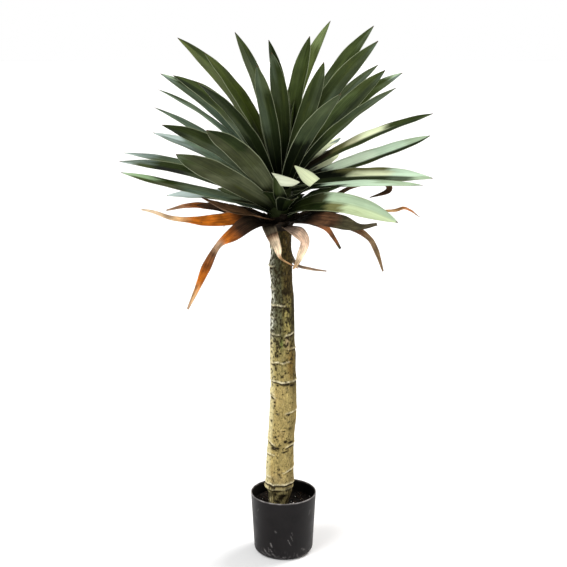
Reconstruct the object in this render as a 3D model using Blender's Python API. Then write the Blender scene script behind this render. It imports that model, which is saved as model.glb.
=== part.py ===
"""Potted yucca: a nursery pot, soil, a bent ringed trunk, a head of sword-shaped
green leaves and the dry leaves that hang under it.

Metres, +Z up. The origin is the centre of the pot's bottom face. The side that
the photo shows looks toward -Y. A bearing is 0 degrees toward -Y and grows
toward +X.
"""
import math
import random

import bmesh
import bpy
import numpy as np

# Clearance between pieces that touch
GAP = 0.0003

# Pot
POT_HEIGHT = 0.180
POT_WALL = 0.003
POT_FLOOR = 0.0035
POT_SIDES = 56
# Outer radius at heights from the rim down to the top of the rounded foot corner
POT_RADII = ((0.180, 0.0950), (0.129, 0.0921), (0.069, 0.0889), (0.033, 0.0870), (0.014, 0.0858))
POT_CORNER_STEPS = 3
POT_RIM_ROUNDING = 0.0008
POT_INNER_CHAMFER = 0.010
DRAIN_HOLES = 6
DRAIN_HOLE_RADIUS = 0.005
DRAIN_HOLE_CIRCLE = 0.052
DRAIN_HOLE_SIDES = 12

# Soil
SOIL_TOP = 0.148
SOIL_SIDES = 40
SOIL_RINGS = 7
SOIL_RING_SPREAD = 1.2
SOIL_RELIEF = 0.0022
# Lumps of the soil: waves along x and along y, phase, share of the relief
SOIL_LUMPS = ((61.0, 73.0, 1.3, 0.6), (151.0, 133.0, 0.4, 0.4))
SOIL_SLACK = 0.0003

# Trunk: height, centre x and radius of the stations read from the photo
TRUNK_STATIONS = (
    (0.1530, -0.0146, 0.0290),
    (0.1790, -0.0100, 0.0345),
    (0.1980, -0.0140, 0.0400),
    (0.2200, -0.0100, 0.0398),
    (0.2600, -0.0110, 0.0400),
    (0.3100, -0.0090, 0.0384),
    (0.3590, -0.0060, 0.0375),
    (0.4070, -0.0020, 0.0390),
    (0.4560, -0.0007, 0.0378),
    (0.5040, 0.0007, 0.0364),
    (0.5510, -0.0020, 0.0363),
    (0.5990, -0.0014, 0.0366),
    (0.6220, -0.0035, 0.0347),
    (0.6690, -0.0035, 0.0346),
    (0.7160, -0.0030, 0.0338),
    (0.7650, -0.0020, 0.0313),
    (0.8030, -0.0050, 0.0300),
    (0.8430, -0.0080, 0.0318),
    (0.8770, -0.0050, 0.0312),
    (0.8990, -0.0070, 0.0285),
    (0.9310, -0.0090, 0.0310),
    (0.9550, -0.0080, 0.0312),
)
# Leaf-scar lips: height, bearing of the middle, half span in degrees, depth
TRUNK_LIPS = (
    (0.1900, 0, 180, 0.0030),
    (0.2150, 10, 150, 0.0026),
    (0.2570, 60, 80, 0.0026),
    (0.3040, -60, 80, 0.0022),
    (0.3280, 60, 75, 0.0026),
    (0.3430, -70, 70, 0.0022),
    (0.3900, 170, 80, 0.0024),
    (0.4360, 60, 80, 0.0024),
    (0.4830, -50, 90, 0.0028),
    (0.5230, 0, 150, 0.0022),
    (0.5780, -30, 80, 0.0022),
    (0.6170, 70, 80, 0.0026),
    (0.6620, 0, 110, 0.0020),
    (0.7090, -80, 60, 0.0020),
    (0.7440, -40, 70, 0.0020),
    (0.7890, -70, 70, 0.0022),
    (0.8540, -90, 60, 0.0036),
    (0.9040, -70, 70, 0.0022),
)
TRUNK_SIDES = 20
TRUNK_RING_STEP = 0.034
TRUNK_RING_CLEARANCE = 0.006
TRUNK_FOOT_BOTTOM = 0.030
TRUNK_FOOT_RADIUS = 0.0290
TRUNK_FOOT_BLEND = 0.030
LIP_RUN_UP = 0.024
LIP_DROP = 0.0035
# Unevenness of the bark: waves round the trunk, waves up it, depth
BARK_RIPPLES = ((3.0, 31.0, 0.0003), (5.0, -53.0, 0.0003))

# Crown axis, and the plain spigot of the trunk inside it
CROWN_X = -0.008
SPIGOT_RADIUS = 0.020
SPIGOT_TOP = 1.020
SPIGOT_SIDES = 24
COLLAR_BOTTOM = TRUNK_STATIONS[-1][0] + GAP
COLLAR_TOP = 0.990
COLLAR_RADII = (0.0315, 0.0355, 0.0340)
CORE_BOTTOM = COLLAR_TOP + GAP
CORE_RADII = (
    (CORE_BOTTOM, 0.0330),
    (1.0050, 0.0345),
    (1.0500, 0.0340),
    (1.0950, 0.0310),
    (1.1250, 0.0270),
    (1.1400, 0.0130),
)
CORE_TIP = 0.004
CUTTER_RUN_OUT = 0.010

# Leaf blades
LEAF_ROOT_RADIUS = 0.022
LEAF_MARGIN_THICKNESS = 0.0010
LEAF_RIB_THICKNESS = 0.0026
LEAF_RIB_SLOPE = 0.12
LEAF_FOLD = 0.20
LEAF_STATIONS = (0.0, 0.15, 0.34, 0.54, 0.74, 0.90, 1.0)
BACK_STATIONS = (0.0, 0.25, 0.52, 0.80, 1.0)
WIDEST_AT = 0.52
ROOT_SHARE = 0.46
TIP_SHARE = 0.03
ROOT_CURVE = 1.3
TIP_CURVE = 3.1

# Green leaves that the photo shows: bearing, rise, length, width, base height,
# arch and sway as shares of the length, roll
FRONT_LEAVES = (
    (-132.0, 44.3, 0.532, 0.066, 1.100, 0.060, 0.048, 11),
    (-123.9, 53.8, 0.398, 0.066, 1.110, 0.056, 0.025, 2),
    (-144.4, 61.5, 0.418, 0.051, 1.120, 0.033, 0.040, -5),
    (-13.7, 54.9, 0.387, 0.047, 1.090, 0.017, -0.006, 4),
    (-17.1, 77.3, 0.366, 0.040, 1.110, 0.033, -0.049, 5),
    (-6.6, 63.4, 0.377, 0.046, 1.100, 0.017, -0.038, -3),
    (142.0, 73.1, 0.372, 0.057, 1.120, 0.071, 0.023, 2),
    (148.0, 58.3, 0.469, 0.037, 1.120, 0.015, -0.067, -28),
    (29.2, 57.2, 0.373, 0.048, 1.100, 0.012, -0.012, 16),
    (125.5, 53.4, 0.504, 0.064, 1.100, 0.082, 0.033, -10),
    (47.1, 50.7, 0.485, 0.060, 1.090, 0.071, -0.003, 19),
    (132.7, 39.0, 0.469, 0.047, 1.100, 0.069, 0.016, -6),
    (60.2, 47.6, 0.423, 0.061, 1.080, 0.041, -0.006, 34),
    (110.3, 40.0, 0.446, 0.059, 1.090, 0.081, 0.015, -25),
    (24.5, 40.5, 0.434, 0.058, 1.060, 0.040, 0.030, 0),
    (56.9, 41.6, 0.437, 0.053, 1.060, 0.067, 0.001, 11),
    (95.3, 24.3, 0.437, 0.058, 1.090, 0.038, -0.021, -17),
    (155.8, 12.1, 0.433, 0.057, 1.080, 0.040, 0.023, 9),
    (156.9, 7.6, 0.438, 0.052, 1.060, 0.008, 0.007, 2),
    (114.0, 15.0, 0.467, 0.061, 1.075, -0.003, -0.010, -21),
    (93.0, 2.0, 0.399, 0.067, 1.080, 0.035, -0.036, -28),
    (72.0, 4.7, 0.374, 0.027, 1.063, 0.030, -0.013, -32),
    (47.6, 2.6, 0.379, 0.056, 1.002, 0.115, 0.067, -55),
    (-125.1, 36.1, 0.501, 0.048, 1.075, 0.064, 0.048, 32),
    (-113.4, 43.4, 0.421, 0.070, 1.080, 0.123, -0.052, 16),
    (-36.5, 44.0, 0.438, 0.060, 1.060, 0.082, 0.000, 4),
    (-89.8, 41.5, 0.410, 0.046, 1.065, 0.080, 0.001, 12),
    (-99.1, 35.5, 0.405, 0.051, 1.050, 0.053, 0.010, 9),
    (-63.2, 32.6, 0.379, 0.066, 1.050, 0.069, -0.010, -32),
    (-114.9, 23.5, 0.417, 0.057, 1.040, 0.054, 0.013, 15),
    (-24.5, 30.0, 0.460, 0.064, 1.030, 0.054, 0.000, -24),
    (-40.5, 26.1, 0.414, 0.073, 1.012, 0.025, 0.021, -34),
    (-102.6, 15.1, 0.446, 0.051, 1.040, 0.047, -0.034, 12),
    (-73.9, 18.3, 0.440, 0.046, 1.018, 0.060, 0.017, -40),
    (-69.5, 14.9, 0.435, 0.040, 1.020, -0.009, 0.029, 31),
    (-124.0, 1.6, 0.385, 0.057, 1.006, 0.054, -0.004, 23),
)
# Short low leaves in front of the crown's foot, as the rows above
SHORT_LEAVES = (
    (-60.0, 22.9, 0.186, 0.054, 1.010, 0.050, 0.000, -30),
    (-74.5, 17.5, 0.213, 0.060, 1.000, 0.040, 0.000, 20),
    (66.0, 24.8, 0.168, 0.052, 1.012, 0.050, 0.000, -18),
    (45.5, 13.0, 0.183, 0.056, 1.000, 0.050, 0.000, -20),
    (8.5, 19.0, 0.191, 0.054, 1.004, 0.100, 0.000, 0),
    (-22.0, 40.0, 0.105, 0.050, 1.006, 0.080, 0.000, 0),
    (32.0, 34.0, 0.110, 0.052, 1.006, 0.080, 0.000, 0),
    (84.0, 30.0, 0.110, 0.050, 1.006, 0.080, 0.000, 0),
    (-82.0, 32.0, 0.110, 0.050, 1.006, 0.080, 0.000, 0),
)

# Leaves on the far side, placed by a rule
SEED = 41
OUTER_BACK_COUNT = 17
OUTER_BACK_BEARINGS = (133.0, 227.0)
OUTER_BACK_RISES = (40.0, -3.0)
OUTER_BACK_HEIGHTS = (1.090, 1.026)
OUTER_BACK_LENGTHS = (0.37, 0.42)
OUTER_BACK_WIDTHS = (0.052, 0.062)
OUTER_BACK_ARCHES = (0.03, 0.08)
OUTER_BACK_NARROWING = 0.25
BACK_SWAY = 0.02
BACK_ROLL = 14.0
BACK_BEARING_JITTER = 3.0
BACK_RISE_JITTER = 2.0
INNER_BACK_BEARINGS = (146.0, 169.0, 192.0, 214.0)
INNER_BACK_RISES = (60.0, 72.0)
INNER_BACK_LENGTHS = (0.22, 0.26)
INNER_BACK_WIDTH = 0.044
INNER_BACK_HEIGHT = 1.105
INNER_BACK_ARCH = 0.03

# Young leaves that stand in a ring round the crown's growing point
YOUNG_COUNT = 7
YOUNG_RISES = (84.0, 91.0)
YOUNG_LENGTHS = (0.16, 0.23)
YOUNG_WIDTH = 0.036
YOUNG_HEIGHT = 1.116
YOUNG_ARCH = 0.02
GOLDEN_SHARE = 0.618

# Two green leaves whose ends are folded back over them. Each section is a
# centre, the direction across the blade and the half width.
FOLDED_LEAVES = (
    (
        ((-0.008, -0.018, 1.030), (-1.0, 0.0, 0.0), 0.013),
        ((-0.009, -0.110, 1.062), (-0.90, 0.15, 0.40), 0.021),
        ((-0.017, -0.203, 1.120), (-0.57, 0.30, 0.77), 0.022),
    ),
    (
        ((-0.018, -0.206, 1.121), (-0.57, 0.30, 0.77), 0.021),
        ((0.016, -0.192, 1.114), (-0.50, 0.35, 0.79), 0.015),
        ((0.055, -0.160, 1.106), (-0.50, 0.35, 0.79), 0.001),
    ),
    (
        ((0.002, -0.016, 1.036), (-0.87, -0.50, 0.0), 0.012),
        ((0.040, -0.090, 1.064), (-0.85, -0.35, -0.40), 0.018),
        ((0.088, -0.152, 1.104), (-0.66, -0.10, -0.75), 0.016),
    ),
    (
        ((0.090, -0.154, 1.105), (-0.66, -0.10, -0.75), 0.015),
        ((0.062, -0.142, 1.121), (-0.60, -0.10, -0.79), 0.017),
        ((0.028, -0.120, 1.146), (-0.60, -0.10, -0.79), 0.001),
    ),
)

# Dry leaves: full width, bearing and height of the root, then points along
# the leaf as x, y, z, width share and roll
DRY_LEAVES = (
    (0.050, -45, 0.982, ((-0.089, -0.120, 1.016, 0.9, 20), (-0.151, -0.180, 1.037, 0.96, 30),
                         (-0.208, -0.220, 1.075, 0.1, 30))),
    (0.053, -118, 0.980, ((-0.112, 0.060, 0.989, 1.05, 20), (-0.179, 0.100, 0.995, 0.6, 20),
                          (-0.259, 0.120, 1.002, 0.42, 35), (-0.337, 0.130, 0.987, 0.12, 30))),
    (0.035, -64, 0.976, ((-0.104, -0.060, 0.999, 1.15, 30), (-0.153, -0.090, 0.996, 1.16, 50),
                         (-0.208, -0.110, 0.996, 0.85, 60), (-0.257, -0.110, 0.999, 0.46, 60),
                         (-0.301, -0.100, 1.003, 0.36, 60), (-0.346, -0.100, 1.019, 0.26, 60),
                         (-0.379, -0.100, 1.026, 0.12, 60))),
    (0.050, -38, 0.972, ((-0.084, -0.096, 0.990, 0.94, 40), (-0.133, -0.124, 0.963, 0.75, 55),
                         (-0.173, -0.122, 0.933, 0.34, 60), (-0.204, -0.112, 0.875, 0.53, 55),
                         (-0.228, -0.110, 0.821, 0.35, 50), (-0.260, -0.100, 0.752, 0.12, 45))),
    (0.038, -16, 0.974, ((-0.037, -0.062, 0.975, 0.98, 0), (-0.035, -0.084, 0.964, 0.93, 0),
                         (-0.017, -0.078, 0.917, 0.67, 0), (-0.006, -0.064, 0.885, 0.39, 0),
                         (0.041, -0.055, 0.856, 0.08, 0))),
    (0.041, 16, 0.968, ((0.035, -0.066, 0.960, 0.9, -30), (0.058, -0.080, 0.938, 0.62, -60),
                        (0.048, -0.075, 0.900, 0.5, -70), (0.036, -0.067, 0.871, 0.27, -70),
                        (0.026, -0.062, 0.856, 0.1, -70))),
    (0.019, 165, 0.970, ((-0.002, 0.052, 0.957, 1.05, 0), (0.008, 0.064, 0.902, 0.83, 0),
                         (0.035, 0.070, 0.843, 0.75, 0), (0.076, 0.080, 0.826, 0.78, 0),
                         (0.124, 0.100, 0.815, 0.31, 0))),
    (0.029, 98, 0.972, ((0.067, 0.016, 0.969, 0.97, 20), (0.108, 0.026, 0.955, 0.94, 30),
                        (0.128, 0.030, 0.941, 0.76, 40), (0.159, 0.030, 0.894, 0.32, 40))),
    (0.036, 68, 0.976, ((0.098, -0.052, 0.996, 1.18, -20), (0.181, -0.080, 0.973, 0.74, -30),
                        (0.228, -0.080, 0.945, 0.51, -40), (0.250, -0.080, 0.909, 0.45, -50),
                        (0.270, -0.080, 0.853, 0.14, -50))),
    (0.034, 128, 0.980, ((0.163, 0.105, 0.990, 1.04, 0), (0.309, 0.160, 0.978, 0.72, 0),
                         (0.357, 0.170, 0.985, 0.7, 0), (0.399, 0.180, 0.960, 0.1, 0))),
    (0.024, 112, 0.982, ((0.102, 0.060, 1.011, 1.3, 0), (0.194, 0.100, 1.055, 1.2, 0),
                         (0.262, 0.116, 1.065, 1.1, 0), (0.293, 0.122, 1.061, 1.0, 0),
                         (0.301, 0.123, 1.051, 0.85, 0), (0.290, 0.122, 1.041, 0.6, 0),
                         (0.246, 0.120, 1.026, 0.1, 0))),
    (0.058, 38, 0.978, ((0.072, -0.124, 1.004, 0.88, -30), (0.145, -0.215, 1.007, 0.8, -40),
                        (0.194, -0.250, 1.004, 0.3, -60), (0.238, -0.240, 1.010, 0.14, -60))),
    (0.050, -95, 0.978, ((-0.110, 0.012, 0.994, 1.0, 20), (-0.190, 0.016, 1.012, 0.7, 30),
                         (-0.240, 0.010, 1.020, 0.06, 30))),
    (0.050, 84, 0.982, ((0.110, -0.010, 1.004, 1.0, -20), (0.180, -0.012, 1.010, 0.6, -30),
                        (0.225, -0.012, 0.998, 0.06, -30))),
)
DRY_MANY_POINTS = 5
DRY_ROOT_RADIUS = 0.028
DRY_ROOT_SHARE = 0.55
DRY_LEAST_SHARE = 0.04
DRY_FOLD = 0.12
DRY_BACK_COUNT = 6
DRY_BACK_ROOT = 0.974
DRY_BACK_BEARINGS = (138.0, 228.0)
DRY_BACK_SHARES = ((0.35, 1.0), (0.7, 0.7), (1.0, 0.06))
DRY_BACK_WIDTHS = (0.030, 0.044)
DRY_BACK_REACHES = (0.15, 0.22)
DRY_BACK_LIFT = 0.014
DRY_BACK_DROPS = (0.01, 0.06)
DRY_BACK_DROP_CURVE = 2.2
DRY_BACK_ROLL = 40.0
DRY_BACK_BEARING_JITTER = 4.0

# Edges sharper than these angles stay sharp, the rest is shaded smooth
SMOOTH_ANGLE = 40.0
BARK_SMOOTH_ANGLE = 50.0
BLADE_SMOOTH_ANGLE = 30.0

# Colours: linear red, green, blue, then roughness
POT_COLOUR = (0.016, 0.017, 0.018, 0.42)
SOIL_COLOUR = (0.022, 0.015, 0.010, 0.95)
TRUNK_COLOUR = (0.250, 0.215, 0.105, 0.85)
LEAF_COLOUR = (0.050, 0.085, 0.030, 0.45)
DRY_COLOUR = (0.330, 0.150, 0.050, 0.75)


def clear_scene():
    for item in list(bpy.data.objects):
        bpy.data.objects.remove(item, do_unlink=True)


def material(name, colour):
    mat = bpy.data.materials.new(name)
    mat.use_nodes = True
    shader = mat.node_tree.nodes["Principled BSDF"]
    shader.inputs["Base Color"].default_value = (colour[0], colour[1], colour[2], 1.0)
    shader.inputs["Roughness"].default_value = colour[3]
    shader.inputs["Metallic"].default_value = 0.0
    mat.diffuse_color = (colour[0], colour[1], colour[2], 1.0)
    return mat


def new_object(name, verts, faces, mat, smooth_angle=SMOOTH_ANGLE):
    """A mesh object with its faces turned outward."""
    mesh = bpy.data.meshes.new(name)
    mesh.from_pydata([tuple(v) for v in verts], [], faces)
    mesh.materials.append(mat)
    bm = bmesh.new()
    bm.from_mesh(mesh)
    bmesh.ops.recalc_face_normals(bm, faces=bm.faces)
    bm.to_mesh(mesh)
    bm.free()
    mesh.shade_smooth()
    mesh.set_sharp_from_angle(angle=math.radians(smooth_angle))
    item = bpy.data.objects.new(name, mesh)
    bpy.context.scene.collection.objects.link(item)
    return item


def circle(centre_x, radius, height, sides):
    turns = [2.0 * math.pi * i / sides for i in range(sides)]
    return [(centre_x + radius * math.sin(a), -radius * math.cos(a), height) for a in turns]


def loft(loops, first_centre, last_centre):
    """Vertices and faces of a closed body through loops of equal length."""
    sides = len(loops[0])
    verts = [first_centre]
    for loop in loops:
        verts.extend(loop)
    verts.append(last_centre)
    faces = []
    for i in range(sides):
        faces.append((0, 1 + (i + 1) % sides, 1 + i))
    for row in range(len(loops) - 1):
        low = 1 + row * sides
        high = low + sides
        for i in range(sides):
            j = (i + 1) % sides
            faces.append((low + i, low + j, high + j, high + i))
    top = 1 + (len(loops) - 1) * sides
    last = len(verts) - 1
    for i in range(sides):
        faces.append((top + i, top + (i + 1) % sides, last))
    return verts, faces


def ring_body(loops):
    """Vertices and faces of a body whose loops close on themselves, like a collar."""
    sides = len(loops[0])
    count = len(loops)
    verts = [v for loop in loops for v in loop]
    faces = []
    for row in range(count):
        low = row * sides
        high = ((row + 1) % count) * sides
        for i in range(sides):
            j = (i + 1) % sides
            faces.append((low + i, low + j, high + j, high + i))
    return verts, faces


def boolean(target, operand, operation, solver="EXACT"):
    """Apply a Boolean of one object, or of a collection of them, to the target."""
    mod = target.modifiers.new("boolean", "BOOLEAN")
    mod.operation = operation
    mod.solver = solver
    if isinstance(operand, bpy.types.Collection):
        mod.operand_type = "COLLECTION"
        mod.collection = operand
        parts = list(operand.objects)
    else:
        mod.object = operand
        parts = [operand]
    graph = bpy.context.evaluated_depsgraph_get()
    mesh = bpy.data.meshes.new_from_object(target.evaluated_get(graph))
    old = target.data
    target.modifiers.clear()
    target.data = mesh
    mesh.name = target.name
    bpy.data.meshes.remove(old)
    for part in parts:
        bpy.data.objects.remove(part, do_unlink=True)


def keep_outer_skin(item):
    """Keep the largest shell: hollows sealed inside it and loose scraps go."""
    bm = bmesh.new()
    bm.from_mesh(item.data)
    bmesh.ops.triangulate(bm, faces=bm.faces)
    left = set(bm.faces)
    shells = []
    while left:
        shell = [left.pop()]
        for face in shell:
            for edge in face.edges:
                for other in edge.link_faces:
                    if other in left:
                        left.remove(other)
                        shell.append(other)
        shells.append(shell)
    shells.sort(key=len)
    for shell in shells[:-1]:
        bmesh.ops.delete(bm, geom=shell, context="FACES")
    bmesh.ops.delete(bm, geom=[v for v in bm.verts if not v.link_faces], context="VERTS")
    bm.to_mesh(item.data)
    bm.free()


def pot_outer_radius(height):
    heights = [h for h, _ in reversed(POT_RADII)]
    radii = [r for _, r in reversed(POT_RADII)]
    return float(np.interp(height, heights, radii))


def pot_outline():
    """Outer side top to bottom, then the inside from the floor to the rim."""
    rim = pot_outer_radius(POT_HEIGHT)
    outline = [(rim - POT_RIM_ROUNDING, POT_HEIGHT), (rim, POT_HEIGHT - POT_RIM_ROUNDING)]
    outline.extend((r, h) for h, r in POT_RADII[1:-1])
    corner_radius, corner_top = POT_RADII[-1]
    for i in range(POT_CORNER_STEPS + 1):
        turn = 0.5 * math.pi * i / POT_CORNER_STEPS
        radius = corner_top - corner_radius * (1.0 - math.cos(turn))
        outline.append((radius, corner_radius * (1.0 - math.sin(turn))))
    floor_edge = pot_outer_radius(0.0) - POT_WALL - POT_INNER_CHAMFER
    inner_foot = POT_FLOOR + POT_INNER_CHAMFER
    outline.append((floor_edge, POT_FLOOR))
    outline.append((pot_outer_radius(inner_foot) - POT_WALL, inner_foot))
    outline.append((pot_outer_radius(SOIL_TOP) - POT_WALL, SOIL_TOP))
    outline.append((rim - POT_WALL, POT_HEIGHT - POT_RIM_ROUNDING))
    outline.append((rim - POT_WALL + POT_RIM_ROUNDING, POT_HEIGHT))
    return outline


def pot_mesh():
    """The outline turned round the axis, with the two faces of the floor closed."""
    outline = pot_outline()
    low = min(range(len(outline)), key=lambda i: (outline[i][1], outline[i][0]))
    order = outline[low + 1:] + outline[:low + 1]
    loops = [circle(0.0, r, h, POT_SIDES) for r, h in order]
    return loft(loops, (0.0, 0.0, POT_FLOOR), (0.0, 0.0, 0.0))


def build_pot(mat):
    verts, faces = pot_mesh()
    pot = new_object("pot", verts, faces, mat)
    cutters = bpy.data.collections.new("drain_cutters")
    bpy.context.scene.collection.children.link(cutters)
    for i in range(DRAIN_HOLES):
        turn = 2.0 * math.pi * (i + 0.5) / DRAIN_HOLES
        x = DRAIN_HOLE_CIRCLE * math.sin(turn)
        y = DRAIN_HOLE_CIRCLE * math.cos(turn)
        loops = []
        for height in (-POT_FLOOR, 2.0 * POT_FLOOR):
            ring = circle(x, DRAIN_HOLE_RADIUS, height, DRAIN_HOLE_SIDES)
            loops.append([(px, py + y, h) for px, py, h in ring])
        verts, faces = loft(loops, (x, y, -POT_FLOOR), (x, y, 2.0 * POT_FLOOR))
        cutter = new_object("drain_cutter", verts, faces, mat)
        cutter.hide_render = True
        cutter.display_type = "WIRE"
        bpy.context.scene.collection.objects.unlink(cutter)
        cutters.objects.link(cutter)
    boolean(pot, cutters, "DIFFERENCE")
    bpy.data.collections.remove(cutters)
    return pot


def soil_height(x, y):
    """Gentle lumps of the soil's top."""
    lumps = 0.0
    for wave_x, wave_y, phase, share in SOIL_LUMPS:
        lumps += share * math.sin(wave_x * x + phase) * math.sin(wave_y * y + phase)
    return SOIL_TOP + SOIL_RELIEF * lumps


def build_soil(mat):
    foot = POT_FLOOR + POT_INNER_CHAMFER
    outer_top = pot_outer_radius(SOIL_TOP) - POT_WALL - GAP - SOIL_SLACK
    outer_foot = pot_outer_radius(foot) - POT_WALL - GAP - SOIL_SLACK
    floor_edge = pot_outer_radius(0.0) - POT_WALL - POT_INNER_CHAMFER - GAP - SOIL_SLACK
    hole = TRUNK_FOOT_RADIUS + GAP
    trunk_x = TRUNK_STATIONS[0][1]
    loops = [
        circle(0.0, floor_edge, POT_FLOOR + GAP, SOIL_SIDES),
        circle(0.0, outer_foot, foot + GAP, SOIL_SIDES),
        circle(0.0, outer_top, SOIL_TOP - 2.0 * SOIL_RELIEF, SOIL_SIDES),
    ]
    for ring in range(SOIL_RINGS + 1):
        share = (ring / SOIL_RINGS) ** SOIL_RING_SPREAD
        radius = outer_top + (hole - outer_top) * share
        loop = circle(trunk_x * share, radius, 0.0, SOIL_SIDES)
        loops.append([(x, y, soil_height(x, y)) for x, y, _ in loop])
    bottom = TRUNK_FOOT_BOTTOM - GAP
    loops.append(circle(trunk_x, hole, bottom, SOIL_SIDES))
    verts, faces = loft(loops, (0.0, 0.0, POT_FLOOR + GAP), (trunk_x, 0.0, bottom))
    return new_object("soil", verts, faces, mat)


def trunk_centre(height):
    return float(np.interp(height, [s[0] for s in TRUNK_STATIONS], [s[1] for s in TRUNK_STATIONS]))


def trunk_base_radius(height):
    return float(np.interp(height, [s[0] for s in TRUNK_STATIONS], [s[2] for s in TRUNK_STATIONS]))


def lip_height(height, bearing):
    """How far the leaf-scar lips stand out here: a slow rise and a sharp drop."""
    total = 0.0
    for lip, middle, span, depth in TRUNK_LIPS:
        away = abs((bearing - middle + 180.0) % 360.0 - 180.0)
        reach = 1.0 if span >= 180 else max(0.0, 1.0 - (away / span) ** 2)
        above = height - lip
        if above >= 0.0:
            total += depth * reach * max(0.0, 1.0 - above / LIP_RUN_UP)
        else:
            total += depth * reach * max(0.0, 1.0 + above / LIP_DROP)
    return total


def trunk_ring_heights():
    """Heights above the foot: two at each lip so that it stays sharp, even steps between."""
    bottom = TRUNK_STATIONS[0][0]
    top = TRUNK_STATIONS[-1][0]
    lips = []
    for lip in TRUNK_LIPS:
        lips.extend((lip[0] - LIP_DROP, lip[0]))
    steps = int(round((top - bottom) / TRUNK_RING_STEP))
    even = [bottom + (top - bottom) * i / steps for i in range(1, steps)]
    clear = [h for h in even if min(abs(h - q) for q in lips) > TRUNK_RING_CLEARANCE]
    return sorted(lips + clear + [top])


def trunk_loop(height):
    centre = trunk_centre(height)
    base = trunk_base_radius(height)
    blend = min(1.0, (height - TRUNK_STATIONS[0][0]) / TRUNK_FOOT_BLEND)
    loop = []
    for i in range(TRUNK_SIDES):
        turn = 2.0 * math.pi * i / TRUNK_SIDES
        rough = 0.0
        for waves_round, waves_up, depth in BARK_RIPPLES:
            rough += depth * math.sin(waves_round * turn + waves_up * height)
        radius = base + blend * (lip_height(height, math.degrees(turn)) + rough)
        loop.append((centre + radius * math.sin(turn), -radius * math.cos(turn), height))
    return loop


def build_trunk(mat):
    foot_x = TRUNK_STATIONS[0][1]
    foot_top = TRUNK_STATIONS[0][0]
    shoulder = TRUNK_STATIONS[-1][0]
    loops = [circle(foot_x, TRUNK_FOOT_RADIUS, TRUNK_FOOT_BOTTOM, TRUNK_SIDES)]
    loops.append(circle(foot_x, TRUNK_FOOT_RADIUS, foot_top, TRUNK_SIDES))
    loops.extend(trunk_loop(h) for h in trunk_ring_heights())
    loops.append(circle(CROWN_X, SPIGOT_RADIUS, shoulder, TRUNK_SIDES))
    loops.append(circle(CROWN_X, SPIGOT_RADIUS, SPIGOT_TOP, TRUNK_SIDES))
    verts, faces = loft(loops, (foot_x, 0.0, TRUNK_FOOT_BOTTOM), (CROWN_X, 0.0, SPIGOT_TOP))
    return new_object("trunk", verts, faces, mat, BARK_SMOOTH_ANGLE)


def unit(vector):
    return vector / np.linalg.norm(vector)


def blade_share(t):
    """Width of a green blade along its length, as a share of the full width."""
    swell = math.sin(0.5 * math.pi * min(1.0, t / WIDEST_AT)) ** ROOT_CURVE
    past = max(0.0, (t - WIDEST_AT) / (1.0 - WIDEST_AT))
    share = (ROOT_SHARE + (1.0 - ROOT_SHARE) * swell) * (1.0 - past ** TIP_CURVE)
    return TIP_SHARE + (1.0 - TIP_SHARE) * share


def blade_body(sections, fold):
    """Closed channel-shaped blade. A section is centre, across, normal, half width."""
    loops = []
    for centre, across, normal, half in sections:
        rib = min(LEAF_RIB_THICKNESS, LEAF_MARGIN_THICKNESS + LEAF_RIB_SLOPE * half)
        lift = normal * fold * half
        margin = normal * LEAF_MARGIN_THICKNESS
        loops.append([
            centre + across * half + lift,
            centre,
            centre - across * half + lift,
            centre - across * half + lift - margin,
            centre - normal * rib,
            centre + across * half + lift - margin,
        ])
    verts = [v for loop in loops for v in loop]
    faces = []
    for row in range(len(loops) - 1):
        a = 6 * row
        b = a + 6
        for i in range(6):
            j = (i + 1) % 6
            # one diagonal pattern for the upper face and the matching one below
            if i in (0, 3):
                faces.extend(((a + i, a + j, b + j), (a + i, b + j, b + i)))
            else:
                faces.extend(((a + i, a + j, b + i), (a + j, b + j, b + i)))
    last = 6 * (len(loops) - 1)
    for base in (0, last):
        faces.extend(((base, base + 1, base + 4), (base, base + 4, base + 5)))
        faces.extend(((base + 1, base + 2, base + 3), (base + 1, base + 3, base + 4)))
    return verts, faces


def arched_sections(row, stations):
    """Sections of a green leaf from its bearing, rise, length and bends."""
    bearing, rise, length, width, height, arch, sway, roll = row
    b = math.radians(bearing)
    e = math.radians(rise)
    along = np.array((math.sin(b) * math.cos(e), -math.cos(b) * math.cos(e), math.sin(e)))
    up = np.array((-math.sin(b) * math.sin(e), math.cos(b) * math.sin(e), math.cos(e)))
    side = np.cross(along, up)
    root = np.array((CROWN_X, 0.0, height)) + LEAF_ROOT_RADIUS * np.array((math.sin(b), -math.cos(b), 0.0))
    tip = root + along * length
    middle = 0.5 * (root + tip) + 2.0 * length * (arch * up + sway * side)
    turn = math.radians(roll)
    sections = []
    for t in stations:
        centre = (1.0 - t) ** 2 * root + 2.0 * t * (1.0 - t) * middle + t ** 2 * tip
        tangent = unit((1.0 - t) * (middle - root) + t * (tip - middle))
        level = unit(side - tangent * np.dot(tangent, side))
        normal = np.cross(level, tangent)
        across = level * math.cos(turn) + normal * math.sin(turn)
        sections.append((centre, across, np.cross(across, tangent), 0.5 * width * blade_share(t)))
    return sections


def folded_sections(row):
    """Sections of a straight piece of a folded leaf."""
    centres = [np.array(r[0]) for r in row]
    sections = []
    for i, (_, across, half) in enumerate(row):
        tangent = unit(centres[min(i + 1, len(row) - 1)] - centres[max(i - 1, 0)])
        across = unit(np.array(across))
        sections.append((centres[i], across, unit(np.cross(across, tangent)), half))
    return sections


def smooth_curve(points, steps):
    """Catmull-Rom curve through the rows of an array."""
    points = np.array(points, dtype=float)
    padded = np.vstack((2.0 * points[0] - points[1], points, 2.0 * points[-1] - points[-2]))
    rows = []
    for i in range(len(points) - 1):
        a, b, c, d = padded[i:i + 4]
        for k in range(steps):
            t = k / steps
            bend = (2.0 * a - 5.0 * b + 4.0 * c - d) * t * t + (3.0 * b - a - 3.0 * c + d) * t ** 3
            rows.append(0.5 * (2.0 * b + (c - a) * t + bend))
    rows.append(points[-1])
    return np.array(rows)


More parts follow.
